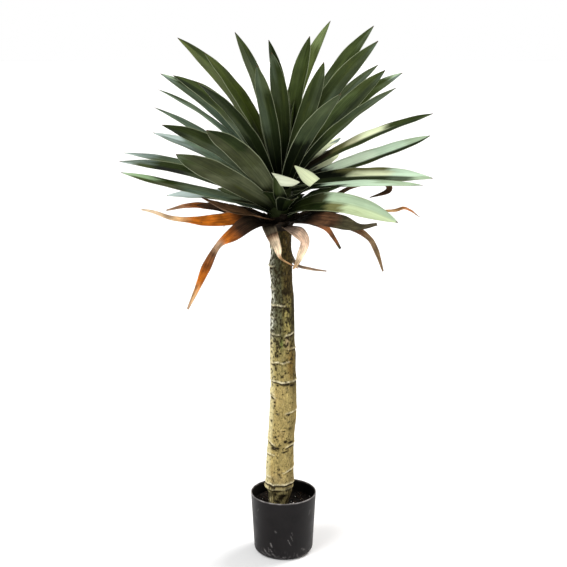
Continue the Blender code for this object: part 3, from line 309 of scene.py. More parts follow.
# Dry leaves: width, bearing and height of the root, points along the leaf as
# x, y, z, width share and roll, then shares of the length with their colours
# Each ramp starts with pitch or shade_brown at the root, as painted shade under the crown
DRY_LEAVES = (
    (0.050, -45, 0.982, ((-0.089, -0.120, 1.016, 0.9, 20), (-0.151, -0.180, 1.037, 0.96, 30),
      (-0.208, -0.220, 1.075, 0.1, 30)),
     "0 shade_brown 0.32 chestnut 0.85 chestnut 1 brown"),
    (0.053, -118, 0.980, ((-0.112, 0.060, 0.989, 1.05, 20), (-0.179, 0.100, 0.995, 0.6, 20),
      (-0.259, 0.120, 1.002, 0.42, 35), (-0.337, 0.130, 0.987, 0.12, 30)),
     "0 shade_brown 0.5 brown 0.75 rust 1 tan"),
    (0.035, -64, 0.976, ((-0.104, -0.060, 0.999, 1.15, 30), (-0.153, -0.090, 0.996, 1.16, 50),
      (-0.208, -0.110, 0.996, 0.85, 60), (-0.257, -0.110, 0.999, 0.46, 60),
      (-0.301, -0.100, 1.003, 0.36, 60), (-0.346, -0.100, 1.019, 0.26, 60),
      (-0.379, -0.100, 1.026, 0.12, 60)),
     "0 pitch 0.24 shade_brown 0.32 rust 0.4 orange 0.62 orange 0.72 straw 1 bone"),
    (0.050, -38, 0.972, ((-0.084, -0.096, 0.990, 0.94, 40), (-0.133, -0.124, 0.963, 0.75, 55),
      (-0.173, -0.122, 0.933, 0.34, 60), (-0.204, -0.112, 0.875, 0.53, 55),
      (-0.228, -0.110, 0.821, 0.35, 50), (-0.260, -0.100, 0.752, 0.12, 45)),
     "0 pitch 0.26 shade_brown 0.34 red_brown 0.4 rust 0.45 orange 0.5 tan 0.58 brown "
     "0.68 rust 0.78 orange 0.9 straw 1 tan"),
    (0.038, -16, 0.974, ((-0.037, -0.062, 0.975, 0.98, 0), (-0.035, -0.084, 0.964, 0.93, 0),
      (-0.017, -0.078, 0.917, 0.58, 0), (-0.006, -0.064, 0.885, 0.17, 0),
      (0.041, -0.055, 0.856, 0.08, 0)),
     "0 pitch 0.26 grey_brown 0.34 grey_brown 0.37 red_brown 0.41 tan 0.46 bone 0.66 bone "
     "0.72 straw 0.84 straw 0.9 brown 1 straw"),
    (0.041, 16, 0.968, ((0.035, -0.066, 0.960, 0.9, -30), (0.058, -0.080, 0.938, 0.62, -60),
      (0.048, -0.075, 0.900, 0.5, -70), (0.036, -0.067, 0.871, 0.27, -70),
      (0.026, -0.062, 0.856, 0.1, -70)),
     "0 shade_brown 0.2 pink_tan 0.34 rosy 0.58 rosy 0.72 bone 1 straw"),
    (0.019, 165, 0.970, ((-0.002, 0.052, 0.957, 1.05, 0), (0.008, 0.064, 0.902, 0.83, 0),
      (0.035, 0.070, 0.843, 0.55, 0), (0.076, 0.080, 0.826, 0.45, 0),
      (0.124, 0.100, 0.815, 0.2, 0)),
     "0 pitch 0.55 grey_brown 0.8 tan 1 tan"),
    (0.029, 98, 0.972, ((0.067, 0.016, 0.969, 0.97, 20), (0.108, 0.026, 0.955, 0.94, 30),
      (0.128, 0.030, 0.941, 0.66, 40), (0.159, 0.030, 0.894, 0.32, 40)),
     "0 pitch 0.42 shade_brown 0.52 rust 0.64 orange 0.76 chestnut 0.86 rust "
     "0.94 olive_brown 1 grey_brown"),
    (0.036, 68, 0.976, ((0.098, -0.052, 0.996, 1.18, -20), (0.181, -0.080, 0.973, 0.74, -30),
      (0.228, -0.080, 0.945, 0.51, -40), (0.250, -0.080, 0.909, 0.45, -50),
      (0.270, -0.080, 0.853, 0.14, -50)),
     "0 shade_brown 0.45 olive_brown 0.62 brown 0.74 ochre 1 ochre"),
    (0.034, 128, 0.980, ((0.163, 0.105, 0.990, 1.04, 0), (0.309, 0.160, 0.978, 0.72, 0),
      (0.357, 0.170, 0.985, 0.7, 0), (0.399, 0.180, 0.960, 0.1, 0)),
     "0 shade_brown 0.6 brown 0.8 straw 0.9 orange 1 tan"),
    (0.024, 112, 0.982, ((0.102, 0.060, 1.011, 1.3, 0), (0.194, 0.100, 1.055, 1.2, 0),
      (0.262, 0.116, 1.065, 1.1, 15), (0.293, 0.122, 1.061, 1.0, 35),
      (0.301, 0.123, 1.051, 0.85, 50), (0.290, 0.122, 1.041, 0.6, 55),
      (0.246, 0.120, 1.026, 0.1, 55)),
     "0 shade_brown 0.7 brown 0.9 red_brown 1 grey_brown"),
    (0.058, 38, 0.978, ((0.072, -0.124, 1.004, 0.88, -30), (0.145, -0.215, 1.007, 0.8, -40),
      (0.194, -0.250, 1.004, 0.3, -60), (0.238, -0.240, 1.010, 0.14, -60)),
     "0 pitch 0.34 pitch 0.44 red_brown 0.53 brown 0.62 red_brown 0.72 olive_brown "
     "0.86 olive_brown 1 grey_brown"),
    (0.050, -95, 0.978, ((-0.110, 0.012, 0.994, 1.0, 20), (-0.190, 0.016, 1.012, 0.7, 30),
      (-0.240, 0.010, 1.020, 0.06, 30)),
     "0 shade_brown 0.6 shade_brown 1 red_brown"),
    (0.050, 84, 0.982, ((0.110, -0.010, 1.004, 1.0, -20), (0.180, -0.012, 1.010, 0.6, -30),
      (0.225, -0.012, 0.998, 0.06, -30)),
     "0 shade_brown 0.6 shade_brown 1 olive_brown"),
)
DRY_STEPS = 9
DRY_ACROSS = (-1.0, -0.72, -0.36, 0.0, 0.36, 0.72, 1.0)
DRY_THICKNESS = (0.0007, 0.0018)
DRY_THINNING = 0.6
DRY_ROOT_RADIUS = 0.028
DRY_ROOT_SHARE = 0.55
DRY_LEAST_SHARE = 0.04
DRY_FOLD = 0.12
DRY_FOLD_GAIN = 1.6
DRY_FOLD_SPAN = (0.2, 0.7)
DRY_CREASE = 0.03
DRY_CURL = 0.10
DRY_CRINKLE = 0.0016
DRY_CRINKLE_START = (0.05, 0.3)
DRY_CRINKLE_HALF = 0.012
DRY_NOISE_STEP = 0.7
DRY_CRINKLES = ((1.0, (0.010, 0.022, 1.0), 5), (0.5, (0.004, 0.012, 1.0), 6))
DRY_BACK_COUNT = 6
DRY_BACK_ROOT = 0.974
DRY_BACK_BEARINGS = (138.0, 228.0)
DRY_BACK_SHARES = ((0.35, 1.0), (0.7, 0.7), (1.0, 0.06))
DRY_BACK_WIDTHS = (0.030, 0.044)
DRY_BACK_REACHES = (0.15, 0.22)
DRY_BACK_LIFT = 0.014
DRY_BACK_DROPS = (0.01, 0.06)
DRY_BACK_DROP_CURVE = 2.2
DRY_BACK_ROLL = 40.0
DRY_BACK_BEARING_JITTER = 4.0
DRY_BACK_COLOURS = ("red_brown", "rust", "brown", "olive_brown", "orange", "tan")

# Trunk: height, centre x and radius
TRUNK_STATIONS = (
    (0.1530, -0.0146, 0.0290), (0.1790, -0.0100, 0.0345), (0.1980, -0.0140, 0.0400),
    (0.2200, -0.0100, 0.0398), (0.2600, -0.0110, 0.0400), (0.3100, -0.0090, 0.0384),
    (0.3590, -0.0060, 0.0375), (0.4070, -0.0020, 0.0390), (0.4560, -0.0007, 0.0378),
    (0.5040, 0.0007, 0.0364), (0.5510, -0.0020, 0.0363), (0.5990, -0.0014, 0.0366),
    (0.6220, -0.0035, 0.0347), (0.6690, -0.0035, 0.0346), (0.7160, -0.0030, 0.0338),
    (0.7650, -0.0020, 0.0313), (0.8030, -0.0050, 0.0300), (0.8430, -0.0080, 0.0318),
    (0.8770, -0.0050, 0.0312), (0.8990, -0.0070, 0.0285), (0.9310, -0.0090, 0.0310),
    (0.9550, -0.0080, 0.0312),
)
TRUNK_SIDES = 172
TRUNK_ROWS = 540
TRUNK_SMOOTHING = 0.006
TRUNK_FOOT_RADIUS = 0.0290
TRUNK_FOOT_HEIGHTS = (0.030, 0.090)
SPIGOT_RADIUS = 0.020
SPIGOT_TOP = 1.020
# Leaf-scar lips: height, bearing of the middle, half span, depth, rise in
# metres per degree to the right, paleness of the rim, darkness under it
TRUNK_LIPS = (
    (0.1990, 0, 180, 0.0024, 0.0, 0.2, 0.5),
    (0.2150, 10, 150, 0.0028, 0.0, 1.0, 0.8),
    (0.2350, -62, 26, 0.0010, 0.0, 0.8, 0.3),
    (0.2600, 62, 52, 0.0026, 0.00022, 1.0, 0.4),
    (0.3040, -62, 40, 0.0022, 0.0, 0.9, 0.5),
    (0.3320, 58, 40, 0.0030, 0.00012, 1.0, 0.9),
    (0.3420, -66, 44, 0.0024, -0.00022, 0.9, 0.7),
    (0.3900, 170, 80, 0.0024, 0.0, 0.8, 0.6),
    (0.4360, 58, 54, 0.0024, 0.00010, 0.8, 0.4),
    (0.4780, -66, 34, 0.0026, -0.00015, 0.9, 0.8),
    (0.4870, -72, 34, 0.0026, -0.00018, 1.0, 0.5),
    (0.5230, 0, 150, 0.0024, 0.0, 1.0, 0.9),
    (0.5780, -30, 64, 0.0024, 0.00004, 1.0, 0.7),
    (0.6170, 70, 46, 0.0028, 0.0, 0.5, 0.9),
    (0.6620, -52, 46, 0.0026, 0.0, 1.0, 0.9),
    (0.6600, 40, 34, 0.0026, 0.00010, 1.0, 0.9),
    (0.7090, -72, 40, 0.0022, 0.0, 0.9, 0.6),
    (0.7440, -40, 62, 0.0022, 0.0, 0.9, 0.8),
    (0.7890, -70, 40, 0.0022, 0.0, 0.7, 0.4),
    (0.8540, -86, 52, 0.0038, 0.0, 0.9, 0.9),
    (0.9040, -70, 60, 0.0022, 0.0, 0.8, 0.3),
    (0.2900, 140, 60, 0.0022, 0.00008, 0.8, 0.5),
    (0.4600, 150, 70, 0.0022, -0.00006, 0.9, 0.6),
    (0.5600, 178, 60, 0.0022, 0.0, 0.8, 0.5),
    (0.6380, -150, 60, 0.0022, 0.0, 0.8, 0.6),
    (0.7200, 150, 60, 0.0020, 0.0, 0.7, 0.5),
    (0.8160, 170, 70, 0.0020, 0.0, 0.7, 0.5),
    (0.8900, 140, 60, 0.0020, 0.0, 0.6, 0.4),
)
LIP_RUN_UP = 0.024
LIP_DROP = 0.0030
LIP_SHARE = 0.80
LIP_BEAD = 0.0008
LIP_FADE = 0.6
# Middle, measured up from the lip, and width of its pale edge and of the shade under it
LIP_EDGE = (0.0006, 0.0025)
LIP_SHADOW = (-0.0048, 0.0026)
LIP_STRETCH = (1.0, 1.0, 0.15)
# Noise of the lips: strength, size of a lump and seed of each layer
LIP_WOBBLE = ((0.0026, 0.014, 21), (0.0012, 0.0055, 22))
LIP_WEAR = ((1.0, 0.007, 23), (0.5, 0.003, 24))
LIP_SHADOW_STRETCH = (1.0, 1.0, 0.3)
LIP_SHADOW_PATCHES = ((1.0, 0.009, 25),)
# Bark colour at heights: red, green, blue in the middle of the front
# Above about 0.66 the colours darken toward the top, partly darker bark and partly painted shade
# of the crown
BARK_COLOURS = (
    (0.150, 0.360, 0.300, 0.130), (0.198, 0.360, 0.300, 0.130), (0.212, 0.280, 0.220, 0.096),
    (0.250, 0.290, 0.224, 0.084), (0.300, 0.306, 0.238, 0.089), (0.450, 0.306, 0.236, 0.088),
    (0.500, 0.296, 0.232, 0.086), (0.550, 0.255, 0.208, 0.078), (0.600, 0.228, 0.186, 0.070),
    (0.640, 0.205, 0.178, 0.070), (0.665, 0.140, 0.120, 0.048), (0.700, 0.095, 0.082, 0.031),
    (0.760, 0.080, 0.067, 0.026), (0.820, 0.056, 0.048, 0.018), (0.870, 0.044, 0.037, 0.013),
    (0.955, 0.030, 0.023, 0.007),
)
# Noise of the bark, as shares of layers with the size of a lump and the seed:
# grain, blotches, broad fields, flecks, specks
BARK_RADIUS = 0.035
BARK_LAYERS = (
    ((1.0, (0.0028, 0.0028, 0.024), 11),),
    ((1.0, (0.010, 0.010, 0.020), 12),),
    ((1.0, (0.030, 0.030, 0.060), 13),),
    ((1.0, (0.0022, 0.0022, 0.0040), 14), (0.8, (0.0044, 0.0044, 0.0070), 15)),
    ((1.0, (0.0050, 0.0050, 0.0064), 16), (0.5, (0.0028, 0.0028, 0.0046), 17)),
)
# Relief of the grain, the broad fields, the flecks, the seam and the pits
BARK_RELIEF = (0.00035, 0.0004, 0.00018, -0.0005, -0.0008)
BARK_FADE = 0.030
SEAM_BEARING = -2.0
SEAM_SWAY = 3.0
SEAM_TURNS = 21.0
SEAM_WIDTH = 2.2
SEAM_START = (0.20, 0.26)
# Scars and pits that the photo shows: height, bearing, height and width of the
# mark, strength; then the spread of their size and the random ones
BARK_MARKS = (
    (0.358, -26, 0.0045, 0.0026, 0.9), (0.352, -20, 0.0030, 0.0024, 0.8),
    (0.461, -41, 0.0036, 0.0034, 0.9), (0.451, -40, 0.0034, 0.0026, 0.9),
    (0.444, -44, 0.0024, 0.0020, 0.7), (0.428, -25, 0.0036, 0.0022, 0.8),
    (0.430, -30, 0.0024, 0.0018, 0.6), (0.404, -56, 0.0034, 0.0030, 0.8),
    (0.427, 19, 0.0034, 0.0022, 0.7), (0.427, 29, 0.0030, 0.0022, 0.6),
    (0.416, 12, 0.0022, 0.0018, 0.5), (0.383, 36, 0.0070, 0.0080, 0.45),
    (0.345, 19, 0.0050, 0.0042, 1.0), (0.341, 46, 0.0040, 0.0075, 0.95),
    (0.313, 15, 0.0034, 0.0040, 0.8), (0.315, 26, 0.0026, 0.0050, 0.7),
    (0.324, -30, 0.0060, 0.0070, 1.0), (0.325, -14, 0.0046, 0.0044, 1.0),
    (0.318, -18, 0.0026, 0.0040, 0.6), (0.262, -2, 0.0050, 0.0022, 0.6),
    (0.247, -3, 0.0046, 0.0024, 0.6), (0.252, 10, 0.0026, 0.0024, 0.5),
    (0.238, 3, 0.0040, 0.0022, 0.5), (0.623, -25, 0.0052, 0.0024, 0.95),
    (0.612, -22, 0.0034, 0.0020, 0.7), (0.600, -25, 0.0056, 0.0026, 0.95),
    (0.632, -30, 0.0040, 0.0020, 0.6), (0.550, 13, 0.0040, 0.0022, 0.8),
    (0.556, 10, 0.0024, 0.0020, 0.6), (0.641, -42, 0.0046, 0.0036, 0.8),
    (0.652, 26, 0.0050, 0.0036, 0.9), (0.648, 30, 0.0060, 0.0022, 0.7),
    (0.516, 14, 0.0060, 0.0130, 0.7), (0.512, 40, 0.0040, 0.0070, 0.9),
    (0.520, -38, 0.0026, 0.0120, 0.9), (0.513, -28, 0.0030, 0.0040, 0.7),
    (0.570, -38, 0.0030, 0.0040, 0.6), (0.735, 26, 0.0060, 0.0050, 0.8),
    (0.780, 14, 0.0060, 0.0080, 0.7), (0.705, 30, 0.0050, 0.0040, 0.6),
    (0.848, -62, 0.0040, 0.0080, 0.9), (0.472, -58, 0.0040, 0.0060, 0.8),
    (0.208, -30, 0.0120, 0.0024, 0.9), (0.206, -20, 0.0110, 0.0026, 0.9),
    (0.204, -42, 0.0090, 0.0020, 0.7), (0.193, -16, 0.0040, 0.0110, 0.8),
    (0.184, -20, 0.0080, 0.0030, 0.8), (0.178, 14, 0.0070, 0.0150, 0.7),
    (0.170, 4, 0.0080, 0.0080, 0.7), (0.160, -14, 0.0060, 0.0100, 0.7),
)
MARK_SPREAD = (1.60, 2.15)
RANDOM_PITS = 400
PIT_COLUMNS = (-42.0, -26.0, -12.0, 10.0, 22.0, 38.0, None, None, None, None, None)
PIT_HEIGHTS = (0.0026, 0.0072)
PIT_WIDTHS = (0.0020, 0.0046)
PIT_STRENGTHS = (0.15, 0.60)
PIT_RANGE = (0.21, 0.93)
PIT_COLUMN_SPREAD = 3.5
MARK_CORE = (0.55, 0.60)
MARK_REACH = 2.5
MARK_RADIUS = 0.037
# Patches of another tint: height, bearing, half height, half width in degrees
BROWN_STREAK = (0.575, 36.0, 0.048, 19.0)
GREEN_STAIN = (0.637, -4.0, 0.016, 7.0)
PINK_PATCH = (0.638, 24.0, 0.014, 9.0)

# Pot: radius at heights, down the outside
POT_HEIGHT = 0.180
POT_WALL = 0.003
POT_FLOOR = 0.0035
POT_RADII = ((0.180, 0.0950), (0.129, 0.0921), (0.069, 0.0889), (0.033, 0.0870), (0.014, 0.0858))
POT_RIM_BEVEL = ((0.0, 0.0010), (0.0003, 0.0004), (0.0012, 0.0))
POT_SIDE_TOP = 0.176
POT_SIDE_ROWS = 110
POT_CORNER_STEPS = 8
POT_INNER_FOOT_RADIUS = 0.0856
POT_INSIDE_HEIGHTS = (0.0300, 0.1785)
POT_INSIDE_ROWS = 40
POT_INSIDE_BEVEL = 0.0008
# Height and width of the band of painted highlight along the rim
POT_RIM_HIGHLIGHT = (0.1795, 0.0012)
POT_RIM_PATCHES = ((1.0, 0.012, 33),)
POT_MEAN_RADIUS = 0.089
POT_SIDES = 256
POT_INNER_CHAMFER = 0.010
DRAIN_HOLES = 6
DRAIN_HOLE_RADIUS = 0.005
DRAIN_HOLE_CIRCLE = 0.052
DRAIN_HOLE_SIDES = 32
POT_SHARP_ANGLE = 40.0
# Scuffs that the photo shows: bearing and height at both ends, width, strength
POT_SCUFFS = (
    (-15.0, 0.094, -14.0, 0.090, 0.0022, 0.45), (8.5, 0.066, 13.5, 0.049, 0.0010, 0.85),
    (13.0, 0.079, 17.5, 0.062, 0.0009, 0.50), (15.0, 0.090, 17.0, 0.080, 0.0008, 0.40),
    (-25.0, 0.052, -22.5, 0.042, 0.0020, 0.80), (-26.5, 0.032, -23.0, 0.026, 0.0022, 0.55),
    (-40.0, 0.028, -36.0, 0.022, 0.0024, 0.65), (-34.0, 0.018, -27.0, 0.014, 0.0026, 0.55),
    (-22.0, 0.020, -16.0, 0.012, 0.0022, 0.50), (-8.0, 0.008, 2.0, 0.006, 0.0016, 0.45),
    (-1.0, 0.011, 4.0, 0.012, 0.0016, 0.55), (38.0, 0.030, 44.0, 0.024, 0.0026, 0.45),
    (-30.0, 0.036, -29.0, 0.024, 0.0016, 0.45), (-46.0, 0.016, -38.0, 0.012, 0.0026, 0.45),
)
RANDOM_SCUFFS = 46
SCUFF_LOWEST = 0.006
SCUFF_RANGE = 0.16
SCUFF_CURVE = 2.2
SCUFF_TURN = 5.0
SCUFF_DROPS = (0.002, 0.016)
SCUFF_WIDTHS = (0.0008, 0.0018)
SCUFF_STRENGTHS = (0.12, 0.40)
SCUFF_BREAKS = ((1.0, 0.0016, 31), (0.6, 0.004, 32))

# Soil
SOIL_TOP = 0.148
SOIL_RELIEF = 0.0022
SOIL_LUMPS = ((61.0, 73.0, 1.3, 0.6), (151.0, 133.0, 0.4, 0.4))
# Noise of the surface and of its tones: strength, size of a lump and seed of each layer
SOIL_ROUGHNESS = ((0.0016, 0.009, 41), (0.0010, 0.0035, 42), (0.0005, 0.0016, 43))
SOIL_TONES = ((0.5, 0.006, 44), (0.3, 0.002, 45))
SOIL_TONE_ENDS = (0.35, 2.0)
SOIL_SIDES = 168
SOIL_RINGS = 40
# Bits on the soil: colour, count, tones, sizes, and shares of the size per axis
SOIL_BITS = (
    ("soil_grain", 1700, (0.4, 2.4), (0.0007, 0.0023), (0.6, 1.2)),
    ("perlite", 40, (0.5, 1.1), (0.0008, 0.0019), (0.7, 1.2)),
    ("bark_bit", 90, (0.5, 1.4), ((0.003, 0.0014, 0.0008), (0.006, 0.0026, 0.0014)), None),
)
BIT_TRIES = 8
BIT_CIRCLE = 0.985
BIT_INNER_GAP = 0.003
BIT_OUTER_GAP = 0.0035
BIT_TILT = 0.5
BIT_DENTS = (0.75, 1.2)
BIT_LIFT = 0.25
BIT_SINK = 0.0010
# Patches of pale bits: place, spread, count
PALE_PATCHES = (
    (-0.052, -0.024, 0.006, 26), (0.022, -0.031, 0.007, 30), (0.040, -0.027, 0.008, 26),
)
PALE_BIT_GAP = 0.002
PALE_BIT_SIZES = (0.0010, 0.0026)
PALE_BIT_SHAPE = (0.7, 1.2)
PALE_BIT_TONES = (0.5, 1.2)
PALE_BIT_LIFT = 0.0004
CLEARANCE = 0.0006
SEAT_GAP = 0.0003
SOIL_EDGE = 0.006
SOIL_SINK = 0.0012

# Studio: name, energy, angle, direction and colour of each light, then the
# dome's height and brightness at the horizon and above
LIGHTS = (
    ("key_light", 2.4, 40.0, (-0.60, -0.50, 0.75), (1.0, 1.0, 1.0)),
    ("rim_light", 2.2, 30.0, (0.55, 0.40, 0.80), (1.0, 1.0, 1.0)),
    ("side_light", 0.9, 20.0, (0.85, 0.50, 0.30), (1.0, 0.80, 0.64)),
)
DOME = (0.06, 0.30, 1.0, 0.50)
FLOOR_SIDES = 96
FLOOR_RADIUS = 60.0
FLOOR_HEIGHT = -0.0005

# Camera: fitted to the pot's rim, the pot's taper and the trunk in the photo
CAMERA_PLACE = (0.0, -3.0, 1.48)
CAMERA_DOWN = 12.75
CAMERA_LENS = 69.8
SENSOR_WIDTH = 36.0


def smooth(value, low, high):
    """0 below low, 1 above high, a smooth turn between."""
    share = np.clip((value - low) / (high - low), 0.0, 1.0)
    return share * share * (3.0 - 2.0 * share)


def bump(value, low, full, fading, gone):
    """0 below low and above gone, 1 between."""
    return smooth(value, low, full) * (1.0 - smooth(value, fading, gone))


def bell(value, middle, width):
    """1 at the middle, falling off on both sides."""
    return np.exp(-((value - middle) / width) ** 2)


def between(ends, share):
    return ends[0] + (ends[1] - ends[0]) * share


def outward(bearing):
    """Level direction of a bearing."""
    b = math.radians(bearing)
    return np.array((math.sin(b), -math.cos(b), 0.0))


def full_turn(sides):
    return 2.0 * math.pi * np.arange(sides) / sides


def lumps(points, size, seed):
    """Smooth random field from -1 to 1 over an array of points, with lumps of a size."""
    grid = np.random.default_rng(seed).uniform(-1.0, 1.0, (FIELD_CELLS,) * 3)
    part = points / np.asarray(size, dtype=float)
    cell = np.floor(part).astype(int)
    part = part - cell
    part = part * part * (3.0 - 2.0 * part)
    total = np.zeros(points.shape[:-1])
    for corner in range(8):
        step = np.array((corner & 1, (corner >> 1) & 1, (corner >> 2) & 1))
        place = (cell + step) % FIELD_CELLS
        weight = np.prod(np.where(step == 1, part, 1.0 - part), axis=-1)
        total += weight * grid[place[..., 0], place[..., 1], place[..., 2]]
    return total


def layered(points, layers):
    """Sum of fields, from the share, the size of a lump and the seed of each."""
    return sum(share * lumps(points, size, seed) for share, size, seed in layers)


def unit(vectors):
    return vectors / np.linalg.norm(vectors, axis=-1, keepdims=True)


def mix(colour, name, share):
    """Turn colours toward a palette colour."""
    return colour + (np.array(PALETTE[name]) - colour) * share


def put(name, data):
    item = bpy.data.objects.new(name, data)
    bpy.context.scene.collection.objects.link(item)
    return item


class Cloth:
    """Collects grids of points into one mesh with per-point data."""

    def __init__(self):
        self.points = []
        self.faces = []
        self.data = {"paint": [], "blade": [], "flow": []}
        self.count = 0

    def add(self, points, faces, **data):
        self.points.append(points)
        self.faces.extend(tuple(self.count + i for i in face) for face in faces)
        for key, rows in self.data.items():
            rows.append(data.get(key, np.zeros((len(points), 3))))
        self.count += len(points)
        return self

    def mesh(self, name):
        mesh = bpy.data.meshes.new(name)
        mesh.from_pydata(np.vstack(self.points).tolist(), [], self.faces)
        return mesh

    def build(self, name, mat, body_slot, *nodes):
        mesh = self.mesh(name)
        for key, rows in self.data.items():
            values = np.vstack(rows)
            if not values.any():
                continue
            if key == "paint":
                values = np.hstack((values, np.ones((len(values), 1))))
                layer = mesh.attributes.new(key, "FLOAT_COLOR", "POINT")
                layer.data.foreach_set("color", values.ravel())
            else:
                layer = mesh.attributes.new(key, "FLOAT_VECTOR", "POINT")
                layer.data.foreach_set("vector", values.ravel())
        mesh.materials.append(mat)
        mesh.validate()
        mesh.shade_smooth()
        piece = put(name, mesh)
        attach(piece, "root")
        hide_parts(*nodes)
        return piece


def loop_faces(rows, count):
    """Faces between closed rows of equal count."""
    faces = []
    for row in range(rows - 1):
        low = row * count
        for i in range(count):
            j = (i + 1) % count
            faces.append((low + i, low + j, low + count + j, low + count + i))
    return faces


def lathe(outline, sides, centre_x=0.0):
    """Rows of points of a turned outline of height and radius."""
    turn = full_turn(sides)
    rows = [(centre_x + radius * np.sin(turn), -radius * np.cos(turn), np.full(sides, height))
            for height, radius in outline]
    return np.stack(rows).swapaxes(1, 2)


def capped(rows):
    """Points and faces of closed rows with both ends closed by a fan."""
    count = rows.shape[1]
    points = np.vstack((rows.reshape(-1, 3), rows[0].mean(axis=0), rows[-1].mean(axis=0)))
    faces = loop_faces(len(rows), count)
    first = len(points) - 2
    top = (len(rows) - 1) * count
    for i in range(count):
        j = (i + 1) % count
        faces.append((i, first, j))
        faces.append((top + j, first + 1, top + i))
    return points, faces


def blade_share(t):
    """Width of a green blade along its length, as a share of the full width."""
    swell = np.sin(0.5 * math.pi * np.clip(t / WIDEST_AT, 0.0, 1.0)) ** ROOT_CURVE
    past = np.clip((t - WIDEST_AT) / (1.0 - WIDEST_AT), 0.0, 1.0)
    share = between((ROOT_SHARE, 1.0), swell) * (1.0 - past ** TIP_CURVE)
    return between((TIP_SHARE, 1.0), share)


def arched_frame(row, t):
    """Centres, directions across, normals and half widths of a green leaf."""
    bearing, rise, length, width, height, arch, sway, roll = row[:8]
    b = math.radians(bearing)
    e = math.radians(rise)
    ahead = np.array((math.sin(b) * math.cos(e), -math.cos(b) * math.cos(e), math.sin(e)))
    up = np.array((-math.sin(b) * math.sin(e), math.cos(b) * math.sin(e), math.cos(e)))
    side = np.cross(ahead, up)
    root = np.array((CROWN_X, 0.0, height)) + LEAF_ROOT_RADIUS * outward(bearing)
    tip = root + ahead * length
    middle = 0.5 * (root + tip) + 2.0 * length * (arch * up + sway * side)
    s = t[:, None]
    centres = (1.0 - s) ** 2 * root + 2.0 * s * (1.0 - s) * middle + s ** 2 * tip
    tangents = unit((1.0 - s) * (middle - root) + s * (tip - middle))
    level = unit(side - tangents * (tangents @ side)[:, None])
    return rolled(centres, tangents, level, math.radians(roll), 0.5 * width * blade_share(t))


def rolled(centres, tangents, level, turn, half):
    """The frame of a blade whose width is rolled out of the level."""
    normals = np.cross(level, tangents)
    across = level * np.cos(turn) + normals * np.sin(turn)
    return centres, across, np.cross(across, tangents), half


def section_frame(rows):
    """The same along a smooth curve through given sections."""
    centres = smooth_curve([r[0] for r in rows], SECTION_STEPS)
    across = unit(smooth_curve([r[1] for r in rows], SECTION_STEPS))
    half = smooth_curve([(r[2],) for r in rows], SECTION_STEPS)[:, 0].clip(SECTION_LEAST_HALF)
    tangents = unit(np.gradient(centres, axis=0))
    return centres, across, unit(np.cross(across, tangents)), half


def smooth_curve(points, steps):
    """Catmull-Rom curve through rows of numbers."""
    points = np.array(points, dtype=float)
    padded = np.vstack((2.0 * points[0] - points[1], points, 2.0 * points[-1] - points[-2]))
    rows = []
    for i in range(len(points) - 1):
        a, b, c, d = padded[i:i + 4]
        for k in range(steps):
            t = k / steps
            bend = (2.0 * a - 5.0 * b + 4.0 * c - d) * t * t + (3.0 * b - a - 3.0 * c + d) * t ** 3
            rows.append(0.5 * (2.0 * b + (c - a) * t + bend))
    rows.append(points[-1])
    return np.array(rows)


def blade_thickness(u, s, ends, thinning):
    """From the margin's thickness to the rib's, thinner toward the tip."""
    return between(ends, (1.0 - np.abs(u)) ** RIB_CURVE * (1.0 - thinning * s))


def add_blade(cloth, shape, t, number, stations, profile, lift, thickness, paint):
    """Closed blade: the upper face left to right, then the lower face back."""
    centres, across, normals, half = shape
    u = np.array(stations)
    rows = len(centres)
    top = centres[:, None] + across[:, None] * (half[:, None] * u)[..., None]
    top = top + normals[:, None] * (half[:, None] * profile + lift)[..., None]
    bottom = top - normals[:, None] * thickness[..., None]
    points = np.concatenate((top, bottom[:, ::-1]), axis=1)
    count = 2 * len(u)
    faces = [face[::-1] for face in loop_faces(rows, count)]
    for row, step in ((0, -1), (rows - 1, 1)):
        for i in range(len(u) - 1):
            a = row * count + i
            b = row * count + count - 1 - i
            faces.append((a, a + 1, b - 1, b)[::step])
    # Place on the blade (across, along, face), then the place in metres
    blade = np.zeros((rows, count, 3))
    blade[..., 0] = np.concatenate((u, u[::-1]))
    blade[..., 1] = t[:, None]
    blade[:, len(u):, 2] = 1.0
    flow = np.zeros((rows, count, 3))
    flow[..., 0] = half[:, None] * blade[..., 0]
    flow[..., 1] = t[:, None] * np.linalg.norm(np.diff(centres, axis=0), axis=1).sum()
    flow[..., 2] = number
    flat = [values.reshape(-1, 3) for values in (points, blade, flow, paint)]
    cloth.add(flat[0], faces, blade=flat[1], flow=flat[2], paint=flat[3])


def along(paint, share):
    """Colours at shares of a leaf's length, for a paint of the leaf tables."""
    names, changes = paint.split()[::2], paint.split()[1::2]
    colour = np.array(PALETTE[names[0]]) * np.ones_like(share)
    for name, change in zip(names[1:], map(float, changes)):
        colour = mix(colour, name, smooth(share, change - PAINT_BLEND, change + PAINT_BLEND))
    return colour


def green_paint(t, number, reach, left, right, split=0.0, strip=None):
    """Left and right paint of a leaf, with painted shade of the crown over its foot, and darker
    toward its edges.
    """
    u = np.concatenate((LEAF_ACROSS, LEAF_ACROSS[::-1]))[None, :, None]
    s = t[:, None, None]
    ragged = s + RAGGED_DEPTH * np.sin(RAGGED_TURNS * u + number)
    colour = along(left, ragged)
    turned = smooth(u, split - SPLIT_BLEND, split + SPLIT_BLEND)
    colour = colour + (along(right, ragged) - colour) * turned
    if strip:
        colour = colour + (along(strip, ragged) - colour) * (1.0 - smooth(u, *STRIP_EDGE))
    colour = colour * (1.0 - EDGE_SHADE * np.abs(u) ** 3)
    # Painted shade of the crown over the leaf's foot
    return mix(colour, "foot", FOOT_SHADE * (1.0 - smooth(s, *reach)))


